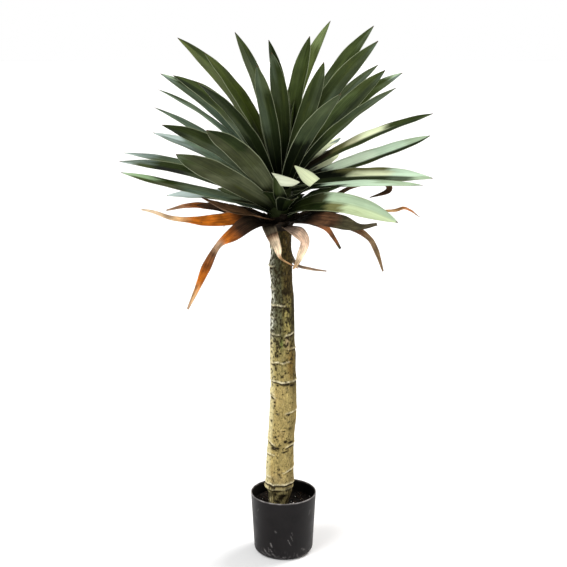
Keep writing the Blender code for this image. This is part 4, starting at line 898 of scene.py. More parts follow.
def add_green(cloth, row, number):
    """A green leaf from a row of the leaves or of the folded leaves."""
    if isinstance(row[0], tuple):
        sections, ends, *paints = row
        shape = section_frame(sections)
        t = np.linspace(*ends, len(shape[0]))
        reach = FOOT_REACH_FLAT
    else:
        paints = row[8:]
        t = np.linspace(0.0, 1.0, LEAF_ROWS)
        shape = arched_frame(row, t)
        reach = FOOT_REACH_STEEP if row[1] > STEEP_RISE else FOOT_REACH_FLAT
    u = np.array(LEAF_ACROSS)[None, :]
    s = t[:, None]
    half = shape[3][:, None]
    crease = np.sqrt(u * u + LEAF_CREASE) - math.sqrt(LEAF_CREASE)
    profile = LEAF_FOLD * between(LEAF_FOLD_CHANGE, s) * crease - LEAF_DROOP * u * u
    waves = 0.0
    for turns, shift, skew, share in LEAF_WAVES:
        phase = 2.0 * math.pi * (turns * s + shift * number)
        waves = waves + share * np.sin(phase + skew * np.sign(u))
    strength = bump(s, *LEAF_WAVE_SPAN) * np.abs(u) ** LEAF_WAVE_CURVE
    lift = LEAF_WAVE * strength * waves * np.clip(half / LEAF_WAVE_HALF, 0.0, 1.0)
    thickness = blade_thickness(u, s, LEAF_THICKNESS, LEAF_THINNING)
    thickness = np.minimum(thickness, LEAF_NARROW[0] + LEAF_NARROW[1] * half)
    paint = green_paint(t, number, reach, *paints)
    add_blade(cloth, shape, t, number, LEAF_ACROSS, profile, lift, thickness, paint)


def back_rows():
    """Far-side green leaves: bearings spread by the golden share, lower ones flatter."""
    draw = random.Random(SEED)
    rows = []
    for i in range(OUTER_BACK_COUNT):
        share = i / (OUTER_BACK_COUNT - 1)
        spread = 1.0 - OUTER_BACK_NARROWING * share
        bearing = between(OUTER_BACK_BEARINGS, ((i * GOLDEN_SHARE) % 1.0 - 0.5) * spread + 0.5)
        rows.append((
            bearing + draw.uniform(-BACK_BEARING_JITTER, BACK_BEARING_JITTER),
            between(OUTER_BACK_RISES, share) + draw.uniform(-BACK_RISE_JITTER, BACK_RISE_JITTER),
            draw.uniform(*OUTER_BACK_LENGTHS), draw.uniform(*OUTER_BACK_WIDTHS),
            between(OUTER_BACK_HEIGHTS, share), draw.uniform(*OUTER_BACK_ARCHES),
            draw.uniform(-BACK_SWAY, BACK_SWAY), draw.uniform(-BACK_ROLL, BACK_ROLL),
            BACK_COLOURS[(2 * i) % 4], BACK_COLOURS[(3 * i + 1) % 4],
        ))
    for bearing in INNER_BACK_BEARINGS:
        rows.append((
            bearing, draw.uniform(*INNER_BACK_RISES), draw.uniform(*INNER_BACK_LENGTHS),
            INNER_BACK_WIDTH, INNER_BACK_HEIGHT, INNER_BACK_ARCH,
            draw.uniform(-BACK_SWAY, BACK_SWAY), 0.0, "green", "grey",
        ))
    return rows


def young_rows():
    """Upright young leaves at even bearings round the axis."""
    draw = random.Random(SEED + 2)
    return tuple(
        (360.0 * (i + 0.5) / YOUNG_COUNT, draw.uniform(*YOUNG_RISES), draw.uniform(*YOUNG_LENGTHS),
         YOUNG_WIDTH, YOUNG_HEIGHT, YOUNG_ARCH, 0.0, 0.0, "green", "moss")
        for i in range(YOUNG_COUNT)
    )


def make_green_leaves(mat):
    rows = [("leaves_left" if row[0] < 0.0 else "leaves_right", row) for row in FRONT_LEAVES]
    rows += [("leaves_inner", row) for row in SHORT_LEAVES + young_rows() + FOLDED_LEAVES]
    rows += [("leaves_back", row) for row in back_rows()]
    rows += [("folded_leaf_ends", row) for row in FLAPS]
    cloths = {name: Cloth() for name in LEAF_PIECES}
    for number, (name, row) in enumerate(rows, 1):
        add_green(cloths[name], row, number)
    for name, cloth in cloths.items():
        cloth.build(name, mat, "green_leaf", "leaf_head")


def dry_frame(row):
    """The same as for a green leaf, along a dry leaf's curve."""
    width, bearing, height, points = row[:4]
    root = np.array((CROWN_X, 0.0, height)) + DRY_ROOT_RADIUS * outward(bearing)
    curve = smooth_curve(((*root, DRY_ROOT_SHARE, 0.0),) + points, DRY_STEPS)
    centres = curve[:, :3]
    tangents = unit(np.gradient(centres, axis=0))
    level = np.cross(tangents[0], (0.0, 0.0, 1.0))
    carried = []
    for tangent in tangents:
        level = unit(level - tangent * np.dot(level, tangent))
        carried.append(level)
    half = 0.5 * width * curve[:, 3].clip(DRY_LEAST_SHARE)
    return rolled(centres, tangents, np.array(carried), np.radians(curve[:, 4])[:, None], half)


def add_dry(cloth, row, number):
    shape = dry_frame(row)
    steps = np.linalg.norm(np.diff(shape[0], axis=0), axis=1)
    t = np.concatenate(((0.0,), np.cumsum(steps))) / steps.sum()
    u = np.array(DRY_ACROSS)[None, :]
    s = t[:, None]
    half = shape[3][:, None]
    curl = DRY_FOLD * (1.0 + DRY_FOLD_GAIN * smooth(s, *DRY_FOLD_SPAN))
    profile = curl * (np.sqrt(u * u + DRY_CREASE) - math.sqrt(DRY_CREASE)) + DRY_CURL * u * u
    place = np.broadcast_arrays(half * u, s * steps.sum(), DRY_NOISE_STEP * number)
    place = np.stack(place, axis=-1)
    strength = smooth(s, *DRY_CRINKLE_START) * np.clip(half / DRY_CRINKLE_HALF, 0.0, 1.0)
    lift = DRY_CRINKLE * layered(place, DRY_CRINKLES) * strength
    thickness = blade_thickness(u, s, DRY_THICKNESS, DRY_THINNING)
    words = row[4].split()
    colours = np.array([PALETTE[name] for name in words[1::2]])
    shares = list(map(float, words[::2]))
    paint = np.stack([np.interp(t, shares, channel) for channel in colours.T], axis=-1)
    paint = np.repeat(paint[:, None], 2 * len(DRY_ACROSS), axis=1)
    add_blade(cloth, shape, t, number, DRY_ACROSS, profile, lift, thickness, paint)


def back_dry_rows():
    """Dry leaves that hang on the far side."""
    draw = random.Random(SEED + 1)
    rows = []
    for i in range(DRY_BACK_COUNT):
        bearing = between(DRY_BACK_BEARINGS, i / (DRY_BACK_COUNT - 1))
        bearing += draw.uniform(-DRY_BACK_BEARING_JITTER, DRY_BACK_BEARING_JITTER)
        drop = draw.uniform(*DRY_BACK_DROPS)
        reach = draw.uniform(*DRY_BACK_REACHES)
        points = []
        for share, width_share in DRY_BACK_SHARES:
            out = DRY_ROOT_RADIUS + reach * math.sin(0.5 * math.pi * share)
            height = DRY_BACK_ROOT + DRY_BACK_LIFT * share - drop * share ** DRY_BACK_DROP_CURVE
            x, y, _ = out * outward(bearing)
            roll = DRY_BACK_ROLL * share * draw.uniform(-1.0, 1.0)
            points.append((CROWN_X + x, y, height, width_share, roll))
        middle, end = DRY_BACK_COLOURS[i % 6], DRY_BACK_COLOURS[(i + 3) % 6]
        rows.append((draw.uniform(*DRY_BACK_WIDTHS), bearing, DRY_BACK_ROOT, tuple(points),
                     f"0 shade_brown 0.5 {middle} 1 {end}"))
    return tuple(rows)


def make_dry_leaves(mat):
    cloth = Cloth()
    for number, row in enumerate(DRY_LEAVES + back_dry_rows(), 1):
        add_dry(cloth, row, number)
    cloth.build("dry_blades", mat, "dry_leaf", "dry_leaves")


def turned_crown(outline, count):
    """Even heights over an outline, their radii and the rows turned from them."""
    heights = np.linspace(outline[0][0], outline[-1][0], count)
    radii = np.interp(heights, *zip(*outline))
    return heights, radii, lathe(zip(heights, radii), CROWN_SIDES, CROWN_X)


def make_crown_core(mat):
    """Leaf bases that wrap the growing point, overlapping like scales."""
    heights, radii, rows = turned_crown(CORE_OUTLINE, CORE_ROWS)
    turn = full_turn(CROWN_SIDES)
    scale = (heights[:, None] / CORE_SCALE_HEIGHT + CORE_SPIRALS * turn / (2.0 * math.pi)) % 1.0
    inward = CORE_SCALE_DEPTH * scale * smooth(radii, *CORE_SCALE_RADII)[:, None]
    axis = np.array((CROWN_X, 0.0, 0.0)) * np.ones_like(rows)
    axis[..., 2] = rows[..., 2]
    rows = rows + unit(axis - rows + 1e-9) * inward[..., None]
    points, faces = capped(rows)
    # The core is painted dark all over, as painted shade under the leaves
    core = Cloth().add(points, faces, paint=np.tile(PALETTE["dark"], (len(points), 1)))
    core.build("crown_core", mat, "green_leaf", "leaf_head")


def make_collar(mat):
    """Dry leaf bases round the trunk's top: short clasping scales on a ring, painted near black as
    painted shade under the crown.
    """
    points, faces = capped(turned_crown(COLLAR_OUTLINE, COLLAR_ROWS)[2])
    tone = 1.3 + layered(points, COLLAR_TONES)[:, None]
    cloth = Cloth().add(points, faces, paint=np.array(PALETTE["pitch"]) * tone)
    draw = random.Random(SEED + 3)
    for i in range(COLLAR_SCALES):
        bearing = 360.0 * (i * GOLDEN_SHARE % 1.0)
        height = between(COLLAR_SCALE_HEIGHTS, i / (COLLAR_SCALES - 1))
        points = []
        for out, up, share in COLLAR_SCALE_SHAPE:
            x, y, _ = out * draw.uniform(*COLLAR_SCALE_JITTER) * outward(bearing)
            roll = draw.uniform(-COLLAR_SCALE_ROLL, COLLAR_SCALE_ROLL)
            points.append((CROWN_X + x, y, height + up, share, roll))
        tone = draw.choice(("pitch", "shade_brown", "pitch"))
        add_dry(cloth, (draw.uniform(*COLLAR_SCALE_WIDTHS), bearing, height, tuple(points),
                        f"0 pitch 0.6 {tone} 1 shade_brown"), FIRST_COLLAR_NUMBER + i)
    cloth.build("dry_leaf_bases", mat, "dry_leaf", "dry_leaves")


def away(bearing, middle):
    """Signed degrees from a middle bearing."""
    return (bearing - middle + 180.0) % 360.0 - 180.0


def trunk_surface():
    """Rows of points of the bark, with the colour of each point."""
    bottom, top = TRUNK_STATIONS[0][0], TRUNK_STATIONS[-1][0]
    heights = np.linspace(bottom, top, TRUNK_ROWS)
    at, centres, radii = np.array(TRUNK_STATIONS).T
    fine = np.arange(-3, 4) * TRUNK_SMOOTHING / 3.0
    centre, base = (np.mean([np.interp(heights + f, at, values) for f in fine], axis=0)
                    for values in (centres, radii))
    turn = full_turn(TRUNK_SIDES)
    z, b = np.meshgrid(heights, np.degrees(turn), indexing="ij")
    angle = np.radians(b)
    around = np.stack((BARK_RADIUS * np.sin(angle), -BARK_RADIUS * np.cos(angle), z), axis=-1)
    out, rim, under = trunk_lips(z, b, around)
    dark = bark_marks(z, b)
    grain, blotch, broad, fleck, speck = (layered(around, layers) for layers in BARK_LAYERS)
    middle = SEAM_BEARING + SEAM_SWAY * np.sin(SEAM_TURNS * z)
    seam = bell(away(b, middle), 0.0, SEAM_WIDTH) * smooth(z, *SEAM_START)
    fields = (grain, broad, fleck, seam, dark)
    relief = sum(depth * field for depth, field in zip(BARK_RELIEF, fields))
    radius = base[:, None] + np.clip((z - bottom) / BARK_FADE, 0.0, 1.0) * (out + relief)
    x = centre[:, None] + radius * np.sin(turn)
    points = np.stack((x, -radius * np.cos(turn), z), axis=-1)
    return points, bark_paint(z, b, rim, under, dark, seam, grain, blotch, broad, fleck, speck)


def trunk_lips(z, b, around):
    """Relief of the leaf-scar lips, their pale rims and the shade under them."""
    out = np.zeros_like(z)
    rim = np.zeros_like(z)
    under = np.zeros_like(z)
    wobble = layered(around * LIP_STRETCH, LIP_WOBBLE)
    worn = between((0.45, 1.0), smooth(layered(around, LIP_WEAR), -0.5, 0.2))
    patchy = smooth(layered(around * LIP_SHADOW_STRETCH, LIP_SHADOW_PATCHES), -0.35, 0.25)
    patchy = between((0.30, 1.0), patchy)
    for height, middle, span, depth, slope, pale, shade in TRUNK_LIPS:
        turn = away(b, middle)
        reach = np.ones_like(z) if span >= 180 else np.clip(1.0 - (turn / span) ** 2, 0.0, 1.0)
        above = z - (height + slope * np.clip(turn, -span, span) + wobble)
        ramp = np.clip(1.0 - above / LIP_RUN_UP, 0.0, 1.0) * (above >= 0.0)
        drop = np.clip(1.0 + above / LIP_DROP, 0.0, 1.0) * (above < 0.0)
        edge = bell(above, *LIP_EDGE)
        out += depth * reach * LIP_SHARE * (ramp + drop) + LIP_BEAD * reach * edge
        fade = reach ** LIP_FADE
        rim = np.maximum(rim, pale * fade * edge * worn)
        under = np.maximum(under, shade * fade * patchy * bell(above, *LIP_SHADOW))
    return out, rim, under


def bark_marks(z, b):
    """Strength of the scars read from the photo and of scattered pits."""
    shade = np.zeros_like(z)
    draw = random.Random(SEED + 4)
    marks = [(height, bearing, MARK_SPREAD[0] * tall, MARK_SPREAD[1] * wide, strength)
             for height, bearing, tall, wide, strength in BARK_MARKS]
    for _ in range(RANDOM_PITS):
        column = draw.choice(PIT_COLUMNS)
        if column is None:
            bearing = draw.uniform(0.0, 360.0)
        else:
            bearing = column + draw.gauss(0.0, PIT_COLUMN_SPREAD)
        marks.append((draw.uniform(*PIT_RANGE), bearing, draw.uniform(*PIT_HEIGHTS),
                      draw.uniform(*PIT_WIDTHS), draw.uniform(*PIT_STRENGTHS)))
    for height, bearing, tall, wide, strength in marks:
        near = np.abs(z[:, 0] - height) < MARK_REACH * tall
        if not near.any():
            continue
        rows = slice(int(np.argmax(near)), int(len(near) - np.argmax(near[::-1])))
        across = np.radians(away(b[rows], bearing)) * MARK_RADIUS
        spot = bell(z[rows], height, MARK_CORE[0] * tall) * bell(across, 0.0, MARK_CORE[1] * wide)
        shade[rows] = np.maximum(shade[rows], strength * spot)
    return shade


def bark_paint(z, b, rim, under, dark, seam, grain, blotch, broad, fleck, speck):
    """Khaki below, dark grey-green above with a pale left edge that is painted highlight and a
    right side darkened as painted shade, olive patches and dark marks.
    """
    table = np.array(BARK_COLOURS)
    front = smooth(np.cos(np.radians(b)), -0.45, 0.05)
    shifted = z + (1.0 - front) * 0.05 * broad
    paint = np.stack([np.interp(shifted, table[:, 0], table[:, k]) for k in (1, 2, 3)], axis=-1)
    side = np.sin(np.radians(b))
    high = smooth(shifted, 0.620 - 0.06 * (1.0 - front), 0.690 + 0.05 * (1.0 - front))
    rough = 0.45 + 0.55 * high
    tone = 1.0 + rough * (0.26 * grain + 0.30 * blotch + 0.36 * fleck) + 0.14 * broad
    tone = tone * (1.0 + 0.24 * (1.0 - high) * bell(side, 0.42, 0.22))
    # Painted shade down the trunk's right side
    dim = 0.26 * smooth(z, 0.205, 0.225) + 0.36 * smooth(z, 0.455, 0.520)
    tone = tone * (1.0 - dim * smooth(side, 0.45, 0.80))
    warm = (1.0 - high) * smooth(broad + 0.5 * blotch, 0.2, 0.9)
    # Painted highlight: a pale left edge below, and a pale grey left side on the upper trunk,
    # plain and in patches
    light = (1.0 - high) * smooth(-side, 0.58, 0.92) * (0.3 + 0.7 * front)
    grey = high * smooth(-side, 0.45, 0.85) * front
    patchy_left_highlight = smooth(blotch + 0.6 * fleck - 0.3 * broad, 0.0, 0.5) * (0.15 + 0.85 * front)
    patchy_left_highlight = high * smooth(-side, 0.25, 0.95) * patchy_left_highlight
    olive = smooth(broad - blotch + 0.4 * fleck, -0.3, 0.3) * bump(z, 0.645, 0.670, 0.750, 0.785)
    olive = olive * bump(side, 0.10, 0.20, 0.62, 0.80)
    soot = (1.0 - smooth(z, 0.200, 0.212)) * smooth(blotch + 0.6 * grain, -0.35, 0.10)
    left = high * bump(-side, -0.02, 0.10, 0.60, 0.85)
    # Darker olive-brown on the upper right, partly bark colour and partly painted shade
    right = smooth(z, 0.740, 0.780) * smooth(side, 0.10, 0.30)
    paint = tinted(
        paint * np.clip(tone, 0.15, 2.2)[..., None],
        ("bark_warm", 0.12 * warm), ("bark_left_highlight", 0.80 * light), ("bark_upper_left_highlight", 0.85 * grey),
        ("patchy_left_highlight", 0.75 * patchy_left_highlight), ("bark_olive", 0.85 * olive),
        ("bark_streak", 0.85 * patch(z, b, *BROWN_STREAK)),
        ("bark_stain", 0.80 * patch(z, b, *GREEN_STAIN)),
        ("bark_pink", 0.80 * patch(z, b, *PINK_PATCH)),
        ("bark_soot", 0.86 * soot), ("bark_seam", (0.22 + 0.60 * high) * seam),
        ("bark_left", 0.66 * left), ("bark_right_brown_and_shade", 0.50 * right))
    paint = paint * (1.0 + 0.45 * rough * smooth(-speck, 0.25, 0.60))[..., None]
    level = 0.64 - 0.55 * smooth(z, 0.480, 0.680)
    broken = smooth(fleck + 0.6 * grain, -0.45, 0.15)
    broken = broken + (1.0 - broken) * (0.85 - 0.45 * smooth(z, 0.440, 0.560))
    return tinted(
        paint, ("bark_soot", 0.92 * smooth(speck - level, 0.0, 0.18)),
        ("bark_pit", np.clip(1.7 * dark, 0.0, 0.98)),
        ("lip_shade", np.clip(1.8 * under, 0.0, 0.98)),
        ("lip_rim", np.clip(rim * broken, 0.0, 0.92)))


def patch(z, b, height, bearing, tall, wide):
    return bell(z, height, tall) * bell(away(b, bearing), 0.0, wide)


def tinted(paint, *tints):
    """Turn rows of colours toward palette colours, one after another."""
    for name, share in tints:
        paint = mix(paint, name, share[..., None])
    return paint


def make_trunk(mat):
    rows, paint = trunk_surface()
    foot = [(height, TRUNK_FOOT_RADIUS) for height in TRUNK_FOOT_HEIGHTS]
    spigot = [(height, SPIGOT_RADIUS) for height in (TRUNK_STATIONS[-1][0], SPIGOT_TOP)]
    below = lathe(foot, TRUNK_SIDES, TRUNK_STATIONS[0][1])
    above = lathe(spigot, TRUNK_SIDES, CROWN_X)
    shades = np.concatenate((paint[:1], paint[:1], paint, paint[-1:], paint[-1:]))
    points, faces = capped(np.concatenate((below, rows, above)))
    paint = np.vstack((shades.reshape(-1, 3), shades[0, 0], shades[-1, 0]))
    Cloth().add(points, faces, paint=paint).build("trunk_bark", mat, "bark", "trunk")


def pot_radius(height):
    return np.interp(height, *zip(*reversed(POT_RADII)))


def pot_inner_foot():
    """The edge of the pot's floor inside and the top of its chamfer."""
    return [(POT_FLOOR, POT_RADII[-1][1] - POT_WALL - POT_INNER_CHAMFER),
            (POT_FLOOR + POT_INNER_CHAMFER, POT_INNER_FOOT_RADIUS - POT_WALL)]


def pot_outline():
    """Outside down, then the floor and the inside up, as height and radius."""
    rim = POT_RADII[0][1]
    corner, foot = POT_RADII[-1]
    outer = [(POT_HEIGHT - drop, rim - inset) for drop, inset in POT_RIM_BEVEL]
    heights = np.linspace(POT_SIDE_TOP, corner, POT_SIDE_ROWS)
    outer.extend((h, float(pot_radius(h))) for h in heights)
    for i in range(1, POT_CORNER_STEPS + 1):
        turn = 0.5 * math.pi * i / POT_CORNER_STEPS
        outer.append((corner * (1.0 - math.sin(turn)), foot - corner * (1.0 - math.cos(turn))))
    inner = pot_inner_foot()
    heights = np.linspace(*POT_INSIDE_HEIGHTS, POT_INSIDE_ROWS)
    inner.extend((h, float(pot_radius(h)) - POT_WALL) for h in heights)
    inner.append((POT_HEIGHT, rim - POT_WALL + POT_INSIDE_BEVEL))
    return outer, inner


def pot_wear(points):
    """Pale scuffs at the places read from the photo and small random ones."""
    x = np.arctan2(points[:, 0], -points[:, 1]) * POT_MEAN_RADIUS
    place = np.stack((x, points[:, 2]), axis=-1)
    wear = np.zeros(len(points))
    draw = random.Random(SEED + 5)
    scuffs = list(POT_SCUFFS)
    for _ in range(RANDOM_SCUFFS):
        start = draw.uniform(-180.0, 180.0)
        height = SCUFF_LOWEST + SCUFF_RANGE * draw.random() ** SCUFF_CURVE
        scuffs.append((start, height, start + draw.gauss(0.0, SCUFF_TURN),
                       height - draw.uniform(*SCUFF_DROPS), draw.uniform(*SCUFF_WIDTHS),
                       draw.uniform(*SCUFF_STRENGTHS)))
    for b0, z0, b1, z1, wide, strength in scuffs:
        start = np.array((math.radians(b0) * POT_MEAN_RADIUS, z0))
        run = np.array((math.radians(b1) * POT_MEAN_RADIUS, z1)) - start
        share = np.clip((place - start) @ run / (run @ run), 0.0, 1.0)
        gap = np.linalg.norm(place - start - share[:, None] * run, axis=1)
        wear = np.maximum(wear, strength * bell(gap, 0.0, wide))
    return wear * between((0.25, 1.0), smooth(layered(points, SCUFF_BREAKS), -0.7, 0.4))


def make_pot(mat):
    outer, inner = pot_outline()
    points, faces = capped(lathe(inner + outer, POT_SIDES))
    outside = np.arange(len(points)) >= len(inner) * POT_SIDES
    # Painted highlight along the rim, broken into patches
    rim = bell(points[:, 2], *POT_RIM_HIGHLIGHT)
    rim *= between((0.45, 1.0), smooth(layered(points, POT_RIM_PATCHES), -0.5, 0.5))
    data = np.stack((pot_wear(points) * outside, rim, outside), axis=-1)
    shell = Cloth().add(points, faces, blade=data)
    drill(shell.build("pot_shell", mat, "black_plastic", "pot"))
    bpy.context.view_layer.update()


def drill(pot):
    """Cut the drain holes through the floor."""
    cutters = Cloth()
    for turn in full_turn(DRAIN_HOLES) + math.pi / DRAIN_HOLES:
        rows = lathe([(height, DRAIN_HOLE_RADIUS) for height in (-POT_FLOOR, 2.0 * POT_FLOOR)],
                     DRAIN_HOLE_SIDES)
        rows = rows + DRAIN_HOLE_CIRCLE * np.array((math.sin(turn), math.cos(turn), 0.0))
        cutters.add(*capped(rows))
    tool = put("drain_cutters", cutters.mesh("drain_cutters"))
    mod = pot.modifiers.new("drain_holes", "BOOLEAN")
    mod.operation = "DIFFERENCE"
    mod.solver = "MANIFOLD"
    mod.object = tool
    graph = bpy.context.evaluated_depsgraph_get()
    pot_mesh = bpy.data.meshes.new_from_object(pot.evaluated_get(graph))
    pot.modifiers.clear()
    pot.data = pot_mesh
    pot_mesh.set_sharp_from_angle(angle=math.radians(POT_SHARP_ANGLE))
    bpy.data.objects.remove(tool, do_unlink=True)


def soil_height(x, y):
    total = 0.0
    for wave_x, wave_y, phase, share in SOIL_LUMPS:
        total += share * np.sin(wave_x * x + phase) * np.sin(wave_y * y + phase)
    return SOIL_TOP + SOIL_RELIEF * total


def make_soil(mat):
    """A lumpy filling with a hole for the trunk's foot."""
    outer = float(pot_radius(SOIL_TOP)) - POT_WALL - CLEARANCE
    foot_x = TRUNK_STATIONS[0][1]
    hole = TRUNK_FOOT_RADIUS + SEAT_GAP
    low = [(height + SEAT_GAP, radius - CLEARANCE) for height, radius in pot_inner_foot()]
    side = lathe(low + [(SOIL_TOP - SOIL_EDGE, outer - SEAT_GAP)], SOIL_SIDES)
    shares = np.linspace(0.0, 1.0, SOIL_RINGS + 1)[:, None]
    turn = full_turn(SOIL_SIDES)
    radius = between((outer, hole), shares)
    x = foot_x * shares + radius * np.sin(turn)
    y = -radius * np.cos(turn)
    flat = np.stack((x, y, np.zeros_like(x)), axis=-1)
    rough = layered(flat, SOIL_ROUGHNESS)
    top = np.stack((x, y, soil_height(x, y) + rough - SOIL_SINK), axis=-1)
    inside = lathe(((TRUNK_FOOT_HEIGHTS[0] - SEAT_GAP, hole),), SOIL_SIDES, foot_x)
    points, faces = capped(np.concatenate((side, top, inside)))
    tone = np.clip(1.0 + layered(points, SOIL_TONES), *SOIL_TONE_ENDS)[:, None]
    # Dark soil, darker still as painted shade inside the pot
    filling = Cloth().add(points, faces, paint=np.array(PALETTE["soil"]) * tone)
    filling.build("soil_filling", mat, "soil", "soil")
    make_bits(mat, outer, foot_x, hole)


def blob(sides=6):
    """A small closed lump of three rings."""
    points, faces = capped(lathe(((-0.72, 0.66), (0.0, 1.0), (0.70, 0.68)), sides))
    points[-2, 2] = -1.0
    points[-1, 2] = 1.0
    return points, faces


def make_bits(mat, outer, foot_x, hole):
    """Grains of soil, white perlite and bits of bark that lie on the top."""
    draw = np.random.default_rng(SEED)
    base, faces = blob()
    cloth = Cloth()

    def add(points, x, y, lift, colour):
        place = np.array((x, y, float(soil_height(x, y)) + lift))
        cloth.add(points + place, faces, paint=np.tile(colour, (len(points), 1)))

    for name, count, tones, sizes, shape in SOIL_BITS:
        for _ in range(count):
            for _ in range(BIT_TRIES):
                radius = outer * math.sqrt(draw.uniform(0.0, 1.0)) * BIT_CIRCLE
                turn = draw.uniform(0.0, 2.0 * math.pi)
                x, y = radius * math.sin(turn), -radius * math.cos(turn)
                gap = math.hypot(x - foot_x, y) - hole
                if gap > BIT_INNER_GAP and radius < outer - BIT_OUTER_GAP:
                    break
            else:
                continue
            size = draw.uniform(*sizes) * (draw.uniform(*shape, 3) if shape else 1.0)
            colour = np.array(PALETTE[name]) * draw.uniform(*tones)
            yaw = draw.uniform(0.0, 2.0 * math.pi)
            tilt = draw.uniform(-BIT_TILT, BIT_TILT)
            px, py, pz = (base * size * draw.uniform(*BIT_DENTS, (len(base), 1))).T
            cy, sy, ct, st = math.cos(yaw), math.sin(yaw), math.cos(tilt), math.sin(tilt)
            px, pz = px * ct + pz * st, pz * ct - px * st
            points = np.stack((px * cy - py * sy, px * sy + py * cy, pz), axis=-1)
            add(points, x, y, BIT_LIFT * float(size.min()) - BIT_SINK, colour)
    for x, y, spread, count in PALE_PATCHES:
        for _ in range(count):
            place = np.array((x, y)) + draw.normal(0.0, spread, 2)
            if math.hypot(place[0] - foot_x, place[1]) < hole + PALE_BIT_GAP:
                continue
            size = draw.uniform(*PALE_BIT_SIZES) * draw.uniform(*PALE_BIT_SHAPE, 3)
            points = base * size * draw.uniform(*BIT_DENTS, (len(base), 1))
            colour = np.array(PALETTE["pale_bit"]) * draw.uniform(*PALE_BIT_TONES)
            add(points, *place, PALE_BIT_LIFT, colour)
    cloth.build("soil_bits", mat, "soil", "soil")


def node(tree, kind, inputs=(), **settings):
    """A shader node with its settings, and inputs given as numbers or values."""
    item = tree.nodes.new("ShaderNode" + kind)
    for key, setting in settings.items():
        setattr(item, key, setting)
    for key, given in inputs:
        if isinstance(given, Value):
            tree.links.new(given.output, item.inputs[key])
        else:
            item.inputs[key].default_value = given
    return item


class Value:
    """A shader output that can be added, multiplied, remapped and split."""

    def __init__(self, output):
        self.output = output

    def into(self, kind, inputs, result=0, **settings):
        return Value(node(self.output.id_data, kind, inputs, **settings).outputs[result])

    def math(self, operation, a, b):
        return self.into("Math", ((0, a), (1, b)), operation=operation)

    def __add__(self, other):
        return self.math("ADD", self, other)

    def __mul__(self, other):
        return self.math("MULTIPLY", self, other)

    def __rsub__(self, other):
        return self.math("SUBTRACT", other, self)

    def __abs__(self):
        return self.math("ABSOLUTE", self, 0.0)

    def remap(self, low, high, to_low=0.0, to_high=1.0):
        inputs = enumerate((self, low, high, to_low, to_high))
        return self.into("MapRange", inputs, interpolation_type="SMOOTHSTEP")

    def stretched(self, scale):
        return self.into("VectorMath", ((0, self), (1, scale)), operation="MULTIPLY")

    def grain(self, scale, detail=2.0, rough=0.5):
        """Noise over this place, with one scale or one for each axis."""
        if isinstance(scale, tuple):
            return self.stretched(scale).grain(1.0, detail, rough)
        inputs = (("Vector", self), ("Scale", scale), ("Detail", detail), ("Roughness", rough))
        return self.into("TexNoise", inputs)

    def split(self):
        item = node(self.output.id_data, "SeparateXYZ", ((0, self),))
        return [Value(output) for output in item.outputs]


def scaled(colour, tone):
    return tone.into("VectorMath", ((0, colour), ("Scale", tone)), operation="SCALE")


def blend(share, first, second):
    """From the first colour to the second, each a value or a palette name."""
    colours = ((*PALETTE[c], 1.0) if isinstance(c, str) else c for c in (first, second))
    return share.into("Mix", ((0, share), *zip((6, 7), colours)), 2, data_type="RGBA")


def attribute(shader, name, output="Vector"):
    return Value(node(shader.id_data, "Attribute", attribute_name=name).outputs[output])


def object_place(shader):
    return Value(node(shader.id_data, "TexCoord").outputs["Object"])


def start_material(name, specular):
    """A new material and its shader, with the gloss on the shader's own socket."""
    mat = bpy.data.materials.new(name)
    mat.use_nodes = True
    shader = mat.node_tree.nodes["Principled BSDF"]
    shader.inputs["Specular IOR Level"].default_value = specular
    return mat, shader


def finish_material(shader, colour, roughness, heights):
    """Link colour, roughness and a chain of bumps: height, strength, distance."""
    normal = ()
    for height, strength, distance in heights:
        inputs = (("Height", height), ("Strength", strength), ("Distance", distance), *normal)
        normal = (("Normal", height.into("Bump", inputs)),)
    for key, value in (("Base Color", colour), ("Roughness", roughness), *normal):
        shader.id_data.links.new(value.output, shader.inputs[key])


def green_material():
    mat, shader = start_material("yucca_leaf", 0.02)
    u, t, face = attribute(shader, "blade").split()
    flow = attribute(shader, "flow")
    paint = attribute(shader, "paint", "Color")
    veins = flow.grain((1500.0, 14.0, 7.0))
    stripes = flow.grain((330.0, 5.0, 7.0))
    clouds = flow.grain((38.0, 16.0, 7.0), 3.0)
    patches = flow.grain((60.0, 9.0, 3.0), 4.0)
    nibble = flow.grain((90.0, 260.0, 5.0))
    spots = flow.grain((240.0, 110.0, 3.0), 1.0)
    tone = veins.remap(0.25, 0.75, 0.86, 1.14) * stripes.remap(0.28, 0.72, 0.76, 1.24)
    tone = tone * clouds.remap(0.3, 0.7, 0.78, 1.22)
    light = paint.split()[1]
    calm = light.remap(0.15, 0.55, 0.0, 0.75)
    bright = light.remap(0.006, 0.070, 0.05, 1.0)
    side = abs(u)
    colour = scaled(paint, tone + calm * (1.0 - tone))
    colour = blend(patches.remap(0.54, 0.76, 0.0, 0.45) * bright, colour, "yellowing")
    colour = blend(side.remap(0.02, 0.07, 0.14, 0.0), colour, "rib")
    colour = blend(face * 0.18 * bright, colour, "lower_face")
    colour = blend((side + nibble * 0.04).remap(0.940, 0.975, 0.0, 0.50), colour, "margin")
    colour = blend(t.remap(0.980, 0.995), colour, "dead_tip")
    colour = blend(spots.remap(0.80, 0.84, 0.0, 0.8), colour, "leaf_spot")
    roughness = clouds.remap(0.3, 0.7, 0.40, 0.54) + veins.remap(0.3, 0.7, -0.03, 0.05)
    finish_material(shader, colour, roughness, ((stripes, 0.35, 0.0008), (veins, 0.30, 0.0003)))
    return mat


